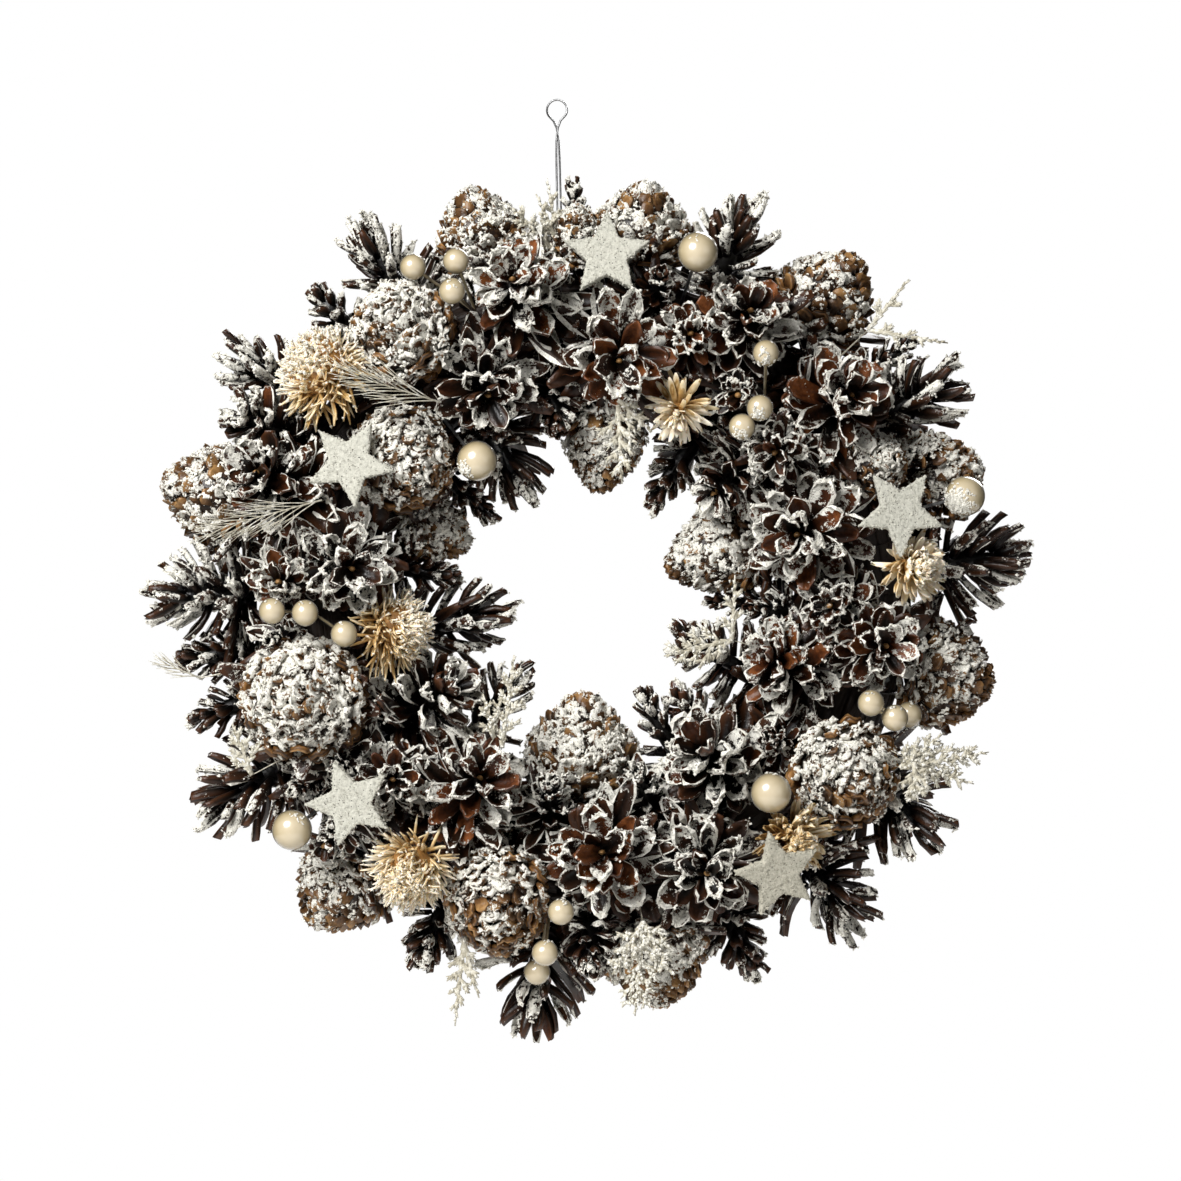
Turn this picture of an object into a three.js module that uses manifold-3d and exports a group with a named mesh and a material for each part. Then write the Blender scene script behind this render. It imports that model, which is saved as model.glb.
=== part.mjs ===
// A snowy wreath of pine cones on a flat-backed straw ring, with dried flower heads, pearls,
// stars and bleached cypress, hung by a loop of wire. Millimetres, +Z up, seen along +Y.
import * as THREE from "three";
import { mergeVertices } from "three/addons/utils/BufferGeometryUtils.js";
import Module from "manifold-3d";

const wasm = await Module();
wasm.setup();

// Driving dimensions
const ringRadius = 112; // to the centre line of the straw ring
const strawRadius = 24; // of the ring's round section
const backDepth = 18; // from the centre line to the flat back
const wireRadius = 0.45;
const wireDepth = 6.5; // from the back plane to the hanging wire
const wireBase = 132; // from the ring's centre to where the wire leaves the straw
const eyeRadius = 4.4; // to the wire's centre line
const grooveWidth = 2;
const grooveDepth = 1.6;
const gap = 0.3; // between neighbouring pieces
const wallGap = 0.6; // from the back plane to the cones
const strapWidth = 4;
const strapThickness = 1.6; // of the glue that joins the cones of one bunch
const largePearl = 8.2;
const smallPearl = 5.4;
const pinRadius = 0.7;
const pinSpare = 1.6; // of each pin, before it is trimmed to the straw
const pickReach = 60; // of the picks' pearls, from the ring's centre line
const starRadius = 18.5;
const starWaist = 8.6;
const starThickness = 4;

// Places are read from the photograph, in pixels, and turned to millimetres in one plane
const perPixel = 0.411;
const sightPlane = -45;
const sightDistance = 2000;
const sightCentre = new THREE.Vector2(590.5, 590.5);
const ringSeen = new THREE.Vector2(586, 598);
const steepest = THREE.MathUtils.degToRad(82); // lean of the cones on the rims
const neckLength = 4; // of bare stalk above the straw
const slimRadius = 19.5; // under this, fewer scales go round
const goldenAngle = 2.4; // radians from each piece's turn to the next one's
const nearby = 14; // between the outlines of two pieces that are kept apart by a plane
const leastShare = 0.4; // of its own radius that a piece keeps on each side of its middle
const ringSides = 44;

// How each kind grows: counts round the core, round a slim one, and up it, how far its middle
// stands from the ring's centre line, and what its scales are like. Widths, lengths and the
// height of the core's top are shares of the radius; t runs from the neck to the top.
const kinds = {
  open: {
    around: 6,
    slim: 5,
    rows: 4,
    reach: 48,
    foot: 5.5,
    top: 0.6,
    colour: "#5a3826",
    core: (t) => 0.33 - 0.21 * t,
    scale: (t) => ({
      length: 1.08 - 0.58 * t,
      lift: -14 + 82 * t,
      width: t < 0.7 ? 0.56 - 0.22 * t : 0,
    }),
  },
  closed: {
    around: 6,
    slim: 5,
    rows: 4,
    reach: 44,
    foot: 6,
    top: 0.86,
    colour: "#a5815c",
    core: (t) => 0.1 + 0.82 * Math.sin(Math.PI * (0.15 + 0.8 * t)),
    scale: (t) => ({ length: 0.3, lift: 10 + 60 * t }),
  },
  small: {
    around: 5,
    slim: 5,
    rows: 3,
    reach: 45,
    foot: 3.5,
    top: 0.62,
    colour: "#6b4a35",
    core: (t) => 0.55 - 0.3 * t,
    scale: (t) => ({ length: 0.8 - 0.3 * t, lift: 5 + 65 * t }),
  },
  flower: {
    around: 9,
    slim: 9,
    rows: 4,
    reach: 58,
    foot: 1.8,
    top: 0.35,
    stem: true,
    colour: "#e6cd9c",
    core: (t) => 0.52 - 0.28 * t,
    scale: (t) => ({ length: 0.62 - 0.14 * t, lift: -6 + 84 * t }),
  },
};

// Each bunch is a node: its cones as [kind, pixel x, pixel y, radius, lean right, lean up]
const bunches = {
  cones_top: [
    ["closed", 642, 232, 19],
    ["closed", 577, 232, 12],
    ["small", 574, 202, 11],
  ],
  cones_top_left: [
    ["closed", 478, 230, 19],
    ["open", 380, 262, 22],
  ],
  cones_eleven_inner: [
    ["open", 515, 290, 23],
    ["open", 485, 388, 21],
    ["open", 512, 462, 21],
  ],
  cones_twelve_face: [
    ["open", 620, 355, 24],
    ["open", 690, 335, 14],
    ["small", 556, 410, 14],
    ["closed", 603, 456, 17],
  ],
  cones_one: [
    ["open", 745, 320, 21],
    ["open", 738, 245, 22],
  ],
  cone_one_outer: [["closed", 828, 297, 21]],
  cones_two: [
    ["open", 838, 400, 24],
    ["open", 915, 395, 24],
  ],
  cones_two_inner: [
    ["open", 778, 450, 15],
    ["open", 726, 483, 17],
    ["small", 670, 484, 15],
  ],
  cones_three_inner: [
    ["closed", 714, 560, 18],
    ["small", 765, 610, 11],
    ["open", 704, 645, 19],
  ],
  cones_ten: [
    ["closed", 402, 330, 21],
    ["small", 328, 310, 14],
  ],
  cones_ten_outer: [
    ["open", 250, 365, 20],
    ["open", 262, 425, 18],
  ],
  cones_nine_outer: [
    ["open", 346, 568, 22],
    ["open", 270, 478, 21],
    ["closed", 204, 495, 21],
  ],
  cones_ten_inner: [
    ["closed", 405, 460, 21],
    ["closed", 440, 532, 15],
  ],
  cones_nine: [
    ["open", 202, 600, 24],
    ["small", 216, 662, 14],
    ["small", 214, 706, 14],
    ["closed", 303, 700, 25],
  ],
  cones_eight_inner: [
    ["open", 462, 612, 21],
    ["open", 432, 700, 22],
    ["open", 503, 698, 19],
  ],
  cones_eight: [
    ["open", 250, 792, 24],
    ["small", 308, 790, 8],
    ["small", 338, 765, 9],
    ["open", 332, 838, 12],
    ["closed", 338, 892, 20],
  ],
  cones_seven: [
    ["open", 392, 780, 15],
    ["open", 474, 788, 23],
  ],
  cones_six_inner: [
    ["closed", 582, 742, 23],
    ["small", 551, 796, 13],
  ],
  cones_seven_outer: [
    ["closed", 500, 903, 22],
    ["small", 432, 934, 17],
  ],
  cones_six: [
    ["open", 602, 855, 23],
    ["small", 592, 946, 16],
    ["open", 540, 993, 22],
  ],
  cones_five: [
    ["open", 705, 868, 22],
    ["closed", 655, 965, 22],
    ["small", 740, 942, 17],
  ],
  cones_five_inner: [
    ["open", 714, 764, 24],
    ["small", 641, 785, 13],
    ["small", 658, 715, 14],
  ],
  cones_four_outer: [
    ["open", 834, 890, 24],
    ["open", 906, 815, 25],
    ["closed", 846, 775, 22],
  ],
  cones_four: [
    ["open", 782, 664, 20],
    ["open", 833, 606, 15],
    ["open", 880, 645, 20],
    ["closed", 950, 675, 21],
  ],
  cones_three: [
    ["open", 806, 532, 23],
    ["closed", 930, 485, 21],
    ["open", 975, 568, 24],
  ],
};

const flowers = [
  [315, 365, 17],
  [678, 411, 15],
  [402, 627, 17],
  [410, 870, 19],
  [916, 566, 14.5],
  [795, 838, 15],
];

const largePearls = [
  [698, 252],
  [477, 461],
  [292, 830],
  [771, 793],
  [965, 496],
];

// Three pearls a pick, the last of some set deeper
const pearlPicks = [
  [[766, 353], [760, 408], [742, 427]],
  [[413, 267], [456, 261], [452, 291]],
  [[272, 611], [305, 613], [344, 634]],
  [[561, 912], [545, 953], [537, 972, 55]],
  [[871, 703], [895, 718], [909, 715, 50]],
];

// Each star: its centre, the direction of its first point, and how it leans right and up
const stars = [
  { seen: [607, 255], turn: 0, lean: [0, 10] },
  { seen: [350, 463], turn: -28, lean: [-4, 4] },
  { seen: [350, 803], turn: -52, lean: [-4, -6] },
  { seen: [778, 873], turn: 16, lean: [14, -16] },
  { seen: [900, 512], turn: -36, lean: [12, 4] },
];

// Each sprig: root and tip in pixels with their depths, shoots on each side and their length
const sprigs = {
  cypress_top: [
    { root: [560, 262, -40], tip: [547, 178, -44], shoots: 2, length: 11 },
    { root: [556, 255, -42], tip: [508, 200, -52], shoots: 3, length: 11 },
  ],
  cypress_one: [
    { root: [868, 330, -58], tip: [909, 279, -62], shoots: 1, length: 9 },
    { root: [868, 330, -58], tip: [948, 343, -56], shoots: 2, length: 8 },
  ],
  cypress_twelve_inner: [{ root: [618, 410, -70], tip: [622, 484, -66], shoots: 4, length: 14 }],
  straw_ten: [{ root: [437, 402, -82], tip: [338, 371, -84], shoots: 3, length: 26 }],
  straw_nine: [{ root: [322, 500, -80], tip: [196, 534, -66], shoots: 3, length: 28 }],
  straw_nine_outer: [{ root: [200, 678, -48], tip: [154, 659, -46], shoots: 2, length: 13 }],
  cypress_eight: [{ root: [252, 775, -72], tip: [232, 724, -62], shoots: 3, length: 13 }],
  cypress_eight_inner: [{ root: [500, 745, -66], tip: [515, 655, -60], shoots: 4, length: 13 }],
  cypress_seven_outer: [{ root: [458, 940, -60], tip: [448, 1026, -56], shoots: 3, length: 11 }],
  cypress_six_outer: [{ root: [645, 925, -72], tip: [634, 1016, -66], shoots: 4, length: 17 }],
  cypress_four_outer: [{ root: [900, 775, -78], tip: [989, 752, -58], shoots: 4, length: 15 }],
  cypress_four_inner: [
    { root: [732, 640, -66], tip: [664, 656, -58], shoots: 3, length: 15 },
    { root: [732, 640, -66], tip: [735, 575, -68], shoots: 2, length: 8 },
  ],
};

const vec = (x, y, z) => new THREE.Vector3(x, y, z);
const lerp = THREE.MathUtils.lerp;
const seenFrom = vec(
  (sightCentre.x - ringSeen.x) * perPixel,
  sightPlane - sightDistance,
  (ringSeen.y - sightCentre.y) * perPixel,
);

// The point at depth y that the photograph shows at a pixel, with the ring's centre at x = z = 0
function seenAt([px, py], y) {
  const spread = (perPixel * (y - seenFrom.y)) / sightDistance;
  return vec(
    seenFrom.x + (px - sightCentre.x) * spread,
    y,
    seenFrom.z - (py - sightCentre.y) * spread,
  );
}

// Nearest point of the ring's centre line
function centreLine(point) {
  const flat = vec(point.x, 0, point.z).setLength(ringRadius);
  return flat.setY(-backDepth);
}

// The point in front of the ring that is seen at a pixel, reach away from the centre line,
// and further out where the lean would pass its limit
function standingAt(pixel, reach) {
  let y = -backDepth - reach;
  for (let pass = 0; pass < 8; pass++) {
    const p = seenAt(pixel, y);
    const off = Math.abs(Math.hypot(p.x, p.z) - ringRadius);
    const limit = reach * Math.sin(steepest);
    const depth = off < limit ? Math.sqrt(reach ** 2 - off ** 2) : off / Math.tan(steepest);
    y = -backDepth - depth;
  }
  return seenAt(pixel, y);
}

// Room for each piece: what it may fill is bounded by planes between it and its neighbours
function makeSite({ pixel, radius, reach, footRadius, hard, lean = [0, 0], foot, ...rest }) {
  const head = standingAt(pixel, reach);
  const outward = head.clone().sub(centreLine(head)).normalize();
  const seat = foot || centreLine(head).addScaledVector(outward, strawRadius + gap);
  const axis = outward.clone().add(vec(lean[0], 0, lean[1])).normalize();
  return { head, outward, foot: seat, axis, radius, footRadius, hard, planes: [], ...rest };
}

function parted(a, b) {
  const across = b.head.clone().sub(a.head);
  const distance = across.length();
  across.normalize();
  const fair = (distance ** 2 + a.radius ** 2 - b.radius ** 2) / (2 * distance);
  let split = THREE.MathUtils.clamp(fair, leastShare * a.radius, distance - leastShare * b.radius);
  const low = a.foot.clone().lerp(b.foot, a.footRadius / (a.footRadius + b.footRadius));
  const plane = new THREE.Plane();
  for (let pass = 0; pass < 3; pass++) {
    const high = a.head.clone().addScaledVector(across, split);
    const up = high.clone().sub(low).normalize();
    const side = up.clone().cross(across).normalize();
    const normal = side.cross(up).normalize();
    if (normal.dot(across) < 0) normal.negate();
    plane.setFromNormalAndCoplanarPoint(normal, high);
    const slope = normal.dot(across);
    if (a.hard) split = Math.max(split, (a.radius + gap) / slope);
    if (b.hard) split = Math.min(split, distance - (b.radius + gap) / slope);
  }
  a.planes.push(plane.clone().translate(plane.normal.clone().multiplyScalar(-gap / 2)));
  const back = plane.clone().negate();
  b.planes.push(back.translate(back.normal.clone().multiplyScalar(-gap / 2)));
}

// The wire rises behind the topmost cones, in a way of its own
const wireAngle = THREE.MathUtils.degToRad(-4.6);
const wireFoot = vec(Math.sin(wireAngle), 0, Math.cos(wireAngle))
  .multiplyScalar(wireBase)
  .setY(-wireDepth);
const eyeCentre = seenAt([557, 110], -wireDepth);
const wireWay = new THREE.Line3(wireFoot, eyeCentre);
const wireRoom = 3.2;

function allowed(site, point, clear) {
  if (point.y > -wallGap) return false;
  if (point.distanceTo(centreLine(point)) < strawRadius + clear) return false;
  if (wireWay.closestPointToPoint(point, true, vec()).distanceTo(point) < wireRoom) return false;
  return site.planes.every((plane) => plane.distanceToPoint(point) <= 0);
}

// Largest share, up to 1, at which every point made by shape(share) has room
function fit(site, shape, clear, least) {
  const fits = (share) => shape(share).every((point) => allowed(site, point, clear));
  if (fits(1)) return 1;
  let [low, high] = [least, 1];
  for (let pass = 0; pass < 7; pass++) {
    const middle = (low + high) / 2;
    if (fits(middle)) low = middle;
    else high = middle;
  }
  return low;
}

// Closed surfaces as lists of flat polygons, each counter-clockwise from outside
function surface(polygons) {
  const corners = polygons.flatMap((polygon) =>
    polygon.slice(2).flatMap((corner, i) => [polygon[0], polygon[i + 1], corner]),
  );
  return new THREE.BufferGeometry().setFromPoints(corners);
}

function solidOf(geometry) {
  const bare = geometry.index ? geometry.toNonIndexed() : geometry.clone();
  bare.deleteAttribute("normal");
  bare.deleteAttribute("uv");
  const merged = mergeVertices(bare, 1e-4);
  const triVerts = new Uint32Array(merged.index.array);
  const vertProperties = merged.attributes.position.array;
  return new wasm.Manifold(new wasm.Mesh({ numProp: 3, vertProperties, triVerts }));
}

function geometryOf(solid) {
  const { numProp, vertProperties, triVerts } = solid.getMesh();
  const corners = Array.from(triVerts, (v) => vec(...vertProperties.subarray(v * numProp, v * numProp + 3)));
  return new THREE.BufferGeometry().setFromPoints(corners);
}

// A core of diamonds on a stalk from the ring, each diamond drawn out into a scale or a petal
function scaledBody(site) {
  const kind = kinds[site.kind];
  const { rows } = kind;
  const around = site.radius < slimRadius ? kind.slim : kind.around;
  const last = rows + 2;
  const right = vec(0, 1, 0).cross(site.axis);
  if (right.length() < 0.1) right.set(1, 0, 0);
  right.normalize().applyAxisAngle(site.axis, site.turn);
  const footRight = right.clone().projectOnPlane(site.outward).normalize();
  const shareOf = (ring) => (ring - 1) / (last - 1);
  const neck = kind.stem ? -0.45 * site.radius : neckLength - site.head.distanceTo(site.foot);

  function onRing(ring, index, share = 1) {
    const angle = (2 * Math.PI * (index + (ring % 2) / 2)) / around;
    const axis = ring ? site.axis : site.outward;
    const height = lerp(neck, kind.top * site.radius, shareOf(ring));
    const centre = ring ? site.head.clone().addScaledVector(axis, height) : site.foot;
    const spoke = (ring ? right : footRight).clone().applyAxisAngle(axis, angle);
    const reach = ring ? kind.core(shareOf(ring)) * site.radius : site.footRadius;
    return centre.clone().addScaledVector(spoke, reach * share);
  }

  const rings = Array.from({ length: last + 1 }, (_, ring) =>
    Array.from({ length: around }, (_, index) => {
      const clear = ring ? gap + strapThickness : 0.99 * gap;
      return onRing(ring, index, fit(site, (share) => [onRing(ring, index, share)], clear, 0.25));
    }),
  );
  const at = (ring, index) => rings[ring][(index + around) % around];

  function tipOf(root, ring, share) {
    const { length, lift, width } = kind.scale(shareOf(ring));
    const middle = root[1].clone().lerp(root[3], 0.5);
    const spoke = middle.clone().sub(site.head).projectOnPlane(site.axis).normalize();
    const tilt = THREE.MathUtils.degToRad(lift);
    const along = spoke.clone().multiplyScalar(Math.cos(tilt)).addScaledVector(site.axis, Math.sin(tilt));
    const across = site.axis.clone().cross(spoke);
    const tip = middle.addScaledVector(along, length * site.radius * share);
    if (!width) return [tip];
    const half = (width * site.radius * lerp(0.6, 1, share)) / 2;
    return [tip.clone().addScaledVector(across, -half), tip.clone().addScaledVector(across, half)];
  }

  const polygons = [];
  for (let ring = 1; ring < last; ring++) {
    for (let index = 0; index < around; index++) {
      const between = index + (ring % 2);
      const root = [at(ring - 1, between), at(ring, index + 1), at(ring + 1, between), at(ring, index)];
      if (ring === 1) {
        polygons.push([root[0], root[1], root[3]], [root[1], root[2], root[3]]);
        continue;
      }
      const share = fit(site, (part) => tipOf(root, ring, part), gap + strapThickness, 0.1);
      const [near, far = near] = tipOf(root, ring, share);
      const [below, ahead, above, behind] = root;
      polygons.push([below, ahead, far], [behind, below, near]);
      polygons.push([ahead, above, far], [above, behind, near]);
      if (far !== near) polygons.push([below, far, near], [above, near, far]);
    }
  }
  for (let index = 0; index < around; index++) {
    polygons.push([at(0, index), at(0, index + 1), at(1, index)]);
    const above = index + ((last - 1) % 2);
    polygons.push([at(last, above), at(last, above - 1), at(last - 1, index)]);
  }
  polygons.push([...rings[0]].reverse(), rings[last]);
  return solidOf(surface(polygons));
}

// Ridge of glue on the straw from one cone's foot to the next
function strap(from, to) {
  const place = (foot) => {
    const middle = centreLine(foot);
    const outward = Math.hypot(foot.x, foot.z) - ringRadius;
    return [Math.atan2(middle.x, middle.z), Math.atan2(outward, -backDepth - foot.y)];
  };
  const [[turnA, tiltA], [seenTurn, tiltB]] = [place(from), place(to)];
  const turnB = turnA + Math.atan2(Math.sin(seenTurn - turnA), Math.cos(seenTurn - turnA));
  const steps = Math.ceil(from.distanceTo(to) / 18);
  const low = strawRadius + gap + 1.2;
  const onStraw = (share, height) => {
    const turn = lerp(turnA, turnB, share);
    const tilt = lerp(tiltA, tiltB, share);
    const out = ringRadius + height * Math.sin(tilt);
    return vec(out * Math.sin(turn), -backDepth - height * Math.cos(tilt), out * Math.cos(turn));
  };
  const stations = Array.from({ length: steps + 1 }, (_, step) => {
    const share = step / steps;
    const along = onStraw(share + 0.01, low).sub(onStraw(share - 0.01, low));
    const up = onStraw(share, low + 1).sub(onStraw(share, low));
    const side = along.cross(up).setLength(strapWidth / 2);
    const bottom = onStraw(share, low);
    return [bottom.clone().add(side), onStraw(share, low + strapThickness), bottom.clone().sub(side)];
  });
  const polygons = [stations[0], [...stations.at(-1)].reverse()];
  stations.slice(1).forEach((next, i) => {
    const now = stations[i];
    for (let k = 0; k < 3; k++) {
      const m = (k + 1) % 3;
      polygons.push([now[m], now[k], next[k]], [now[m], next[k], next[m]]);
    }
  });
  const made = solidOf(surface(polygons));
  return made.volume() > 0 ? made : solidOf(surface(polygons.map((polygon) => [...polygon].reverse())));
}

// A pearl on a pin that is long enough to meet the straw, where it is trimmed
function pinnedPearl(site, sides, bands) {
  const down = site.foot.clone().sub(site.head).normalize();
  const foot = site.foot.clone().addScaledVector(down, pinSpare);
  const length = site.head.distanceTo(foot);
  const profile = [new THREE.Vector2(0, 0), new THREE.Vector2(pinRadius, 0)];
  const first = Math.asin(pinRadius / site.radius);
  for (let band = 0; band < bands; band++) {
    const angle = lerp(first, Math.PI, band / bands);
    const height = length - site.radius * Math.cos(angle);
    profile.push(new THREE.Vector2(site.radius * Math.sin(angle), height));
  }
  profile.push(new THREE.Vector2(0, length + site.radius));
  const geometry = new THREE.LatheGeometry(profile, sides);
  const turn = new THREE.Quaternion().setFromUnitVectors(vec(0, 1, 0), down.negate());
  return solidOf(geometry.applyQuaternion(turn).translate(foot.x, foot.y, foot.z));
}

// The round straw section with its flat back, as a closed outline of radius and depth
function strawSection(radius, back, steps) {
  const edge = Math.acos((backDepth - back) / radius);
  return Array.from({ length: steps + 1 }, (_, step) => {
    const angle = lerp(edge, 2 * Math.PI - edge, step / steps);
    return new THREE.Vector2(
      ringRadius + radius * Math.sin(angle),
      -backDepth + radius * Math.cos(angle),
    );
  });
}

function strawRing() {
  const outline = strawSection(strawRadius, 0, 9).reverse();
  const ring = solidOf(new THREE.LatheGeometry([...outline, outline[0]], ringSides));
  const slab = new THREE.BoxGeometry(grooveWidth, 80, 70);
  slab.translate(0, -backDepth, ringRadius);
  const inner = strawSection(strawRadius - grooveDepth, grooveDepth, 9);
  const core = new THREE.ExtrudeGeometry(new THREE.Shape(inner), { depth: 8, bevelEnabled: false });
  core.translate(0, 0, -4).rotateY(-Math.PI / 2);
  const groove = solidOf(slab).subtract(solidOf(core));
  const turned = solidOf(geometryOf(groove).rotateY(wireAngle));
  return ring.subtract(turned);
}

// One length of wire: up from the ring, round the eye, down, and once round the ring in its groove
function hangerWire() {
  const eye = (angle, y) =>
    vec(eyeCentre.x + eyeRadius * Math.sin(angle), y, eyeCentre.z - eyeRadius * Math.cos(angle));
  const clearance = wireRadius + gap;
  const around = strawSection(strawRadius - grooveDepth + clearance, grooveDepth - clearance, 12);
  const loop = around.map((p) =>
    vec(p.x * Math.sin(wireAngle), p.y, p.x * Math.cos(wireAngle)),
  );
  const start = wireFoot.clone().add(vec(-0.9, -2.4, 3));
  const points = [
    start,
    start.clone().lerp(eye(0, -8.2), 0.5),
    start.clone().lerp(eye(0, -8.2), 0.92),
    ...[0.7, 1.4, 2.3, 3.14, 3.98, 4.88, 5.58].map((angle, i) => eye(angle, lerp(-8, -5, (i + 0.5) / 7))),
    wireFoot.clone().add(vec(0.7, 1.6, 8)).lerp(eye(0, -4.8), 0.9),
    wireFoot.clone().add(vec(0.7, 1.6, 8)),
    ...loop,
  ];
  const path = new THREE.CatmullRomCurve3(points, false, "centripetal");
  const section = new THREE.Shape().absarc(0, 0, wireRadius, 0, 2 * Math.PI);
  const options = { extrudePath: path, steps: 48, curveSegments: 2, bevelEnabled: false };
  return new THREE.ExtrudeGeometry(section, options);
}

function starShape(grow) {
  const outline = Array.from({ length: 10 }, (_, i) => {
    const reach = (i % 2 ? starWaist : starRadius) + grow * 1.6;
    return new THREE.Vector2(reach * Math.sin((i * Math.PI) / 5), reach * Math.cos((i * Math.PI) / 5));
  });
  const depth = starThickness + 2 * grow;
  const options = { depth, bevelEnabled: false };
  return new THREE.ExtrudeGeometry(new THREE.Shape(outline), options).translate(0, 0, -depth / 2);
}

// A star moved back along the line of sight until it lies on what is behind it
function settledStar({ seen, turn, lean }, behind) {
  const spin = new THREE.Matrix4().makeRotationZ(THREE.MathUtils.degToRad(turn));
  const [right, up] = lean.map(THREE.MathUtils.degToRad);
  const facing = new THREE.Euler(Math.PI / 2 - up, 0, right, "ZXY");
  const face = new THREE.Matrix4().makeRotationFromEuler(facing);
  const shaped = (y, grow) => {
    const spot = seenAt(seen, y);
    return starShape(grow).applyMatrix4(spin).applyMatrix4(face).translate(spot.x, spot.y, spot.z);
  };
  const touches = (y) => behind.intersect(solidOf(shaped(y, gap))).volume() > 1e-3;
  let [free, blocked] = [-130, -50];
  for (let y = free; y < blocked; y += 2) {
    if (touches(y)) blocked = y;
    else free = y;
  }
  for (let pass = 0; pass < 5; pass++) {
    const middle = (free + blocked) / 2;
    if (touches(middle)) blocked = middle;
    else free = middle;
  }
  return shaped(free, 0);
}

// A thin three-sided shoot through the points given, drawn out to its tip
function shoot(points, width) {
  const tip = points.at(-1);
  const aside = tip.clone().sub(points.at(-2)).cross(vec(0.2, 1, 0));
  const rings = points.slice(0, -1).map((point, i) => {
    const along = points[i + 1].clone().sub(point).normalize();
    if (i) along.add(point.clone().sub(points[i - 1]).normalize()).normalize();
    const side = aside.clone().projectOnPlane(along).normalize();
    const front = along.clone().cross(side);
    return [0, 1, 2].map((k) => {
      const angle = (2 * Math.PI * k) / 3 + 0.5;
      const across = side.clone().multiplyScalar(width * Math.cos(angle));
      return point.clone().add(across).addScaledVector(front, 0.7 * width * Math.sin(angle));
    });
  });
  const polygons = [[...rings[0]].reverse()];
  for (let k = 0; k < 3; k++) {
    const m = (k + 1) % 3;
    rings.slice(1).forEach((next, i) => {
      polygons.push([rings[i][k], rings[i][m], next[m]], [rings[i][k], next[m], next[k]]);
    });
    polygons.push([rings.at(-1)[k], rings.at(-1)[m], tip]);
  }
  return solidOf(surface(polygons));
}

// A flat spray: a stem from the straw through its root, with shoots on both sides beyond it
// that shorten towards its tip
function spray({ root, tip, shoots, length }) {
  const from = seenAt(root, root[2]);
  const to = seenAt(tip, tip[2]);
  const along = to.clone().sub(from).normalize();
  const pieces = [shoot([centreLine(from), from, to], 1.5)];
  for (let step = 0; step < shoots; step++) {
    for (const side of [-1, 1]) {
      const share = (step + (side > 0 ? 0.9 : 0.5)) / (shoots + 0.6);
      const start = from.clone().lerp(to, share * 0.8).addScaledVector(along, -0.6);
      const way = along.clone().applyAxisAngle(vec(0, 1, 0), side * lerp(0.75, 0.45, share));
      const end = start.clone().addScaledVector(way, length * lerp(1, 0.55, share));
      pieces.push(shoot([start, end.add(vec(0, 1 - 2 * (step % 2), 0))], 1.1));
    }
  }
  return pieces;
}

// The same closed surface a little larger, every corner moved out along its mean normal
function grown(solid, by) {
  const geometry = mergeVertices(geometryOf(solid), 1e-4);
  geometry.computeVertexNormals();
  const { position, normal } = geometry.attributes;
  for (let i = 0; i < position.count; i++) {
    const moved = vec().fromBufferAttribute(position, i);
    moved.addScaledVector(vec().fromBufferAttribute(normal, i), by);
    position.setXYZ(i, moved.x, moved.y, moved.z);
  }
  return solidOf(geometry);
}

function largestBody(solid) {
  return solid.decompose().sort((a, b) => b.volume() - a.volume())[0];
}

const joined = (solids) => solids.reduce((whole, part) => whole.add(part));

// Sites first, then the planes between near neighbours of different pieces
const sites = [];
function addSite(owner, given) {
  const site = makeSite({ ...given, owner });
  site.turn = sites.length * goldenAngle;
  sites.push(site);
  return site;
}

for (const [owner, cones] of Object.entries(bunches)) {
  for (const [kind, px, py, radius, right = 0, up = 0] of cones) {
    const { reach, foot } = kinds[kind];
    const lean = [right, up];
    addSite(owner, { kind, pixel: [px, py], radius, reach, footRadius: foot, lean });
  }
}
flowers.forEach(([px, py, radius], i) => {
  const { reach, foot } = kinds.flower;
  const owner = "dried_flower_" + (i + 1);
  addSite(owner, { kind: "flower", pixel: [px, py], radius, reach, footRadius: foot });
});
largePearls.forEach((pixel, i) => {
  const owner = "large_pearl_" + (i + 1);
  addSite(owner, { kind: "pearl", pixel, radius: largePearl, reach: 62, footRadius: 1.2, hard: true });
});
pearlPicks.forEach((pixels, i) => {
  const owner = "pearl_pick_" + (i + 1);
  const given = { kind: "pearl", radius: smallPearl, footRadius: 1.2, hard: true };
  const [first, middle, last] = pixels;
  const shared = addSite(owner, { ...given, pixel: middle, reach: pickReach });
  addSite(owner, { ...given, pixel: first, reach: pickReach, foot: shared.foot });
  addSite(owner, { ...given, pixel: last, reach: last[2] || pickReach, foot: shared.foot });
});

sites.forEach((a, i) => {
  for (const b of sites.slice(i + 1)) {
    const near = a.head.distanceTo(b.head) < a.radius + b.radius + nearby;
    const onePick = a.kind === "pearl" && a.owner === b.owner;
    if (near && !onePick) parted(a, b);
  }
});

const wreath = new THREE.Group();
wreath.position.set(-eyeCentre.x, -eyeCentre.y, -eyeCentre.z - eyeRadius + wireRadius);

function addMesh(name, geometry, color, roughness = 0.8) {
  const mesh = new THREE.Mesh(geometry, new THREE.MeshStandardMaterial({ color, roughness, metalness: 0 }));
  mesh.name = name;
  wreath.add(mesh);
}

const straw = strawRing();
const strawRoom = grown(straw, gap);
addMesh("straw_ring", geometryOf(straw), "#b5925c");
const wire = hangerWire();
addMesh("hanger_wire", wire, "#8a8a8a", 0.4);

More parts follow.
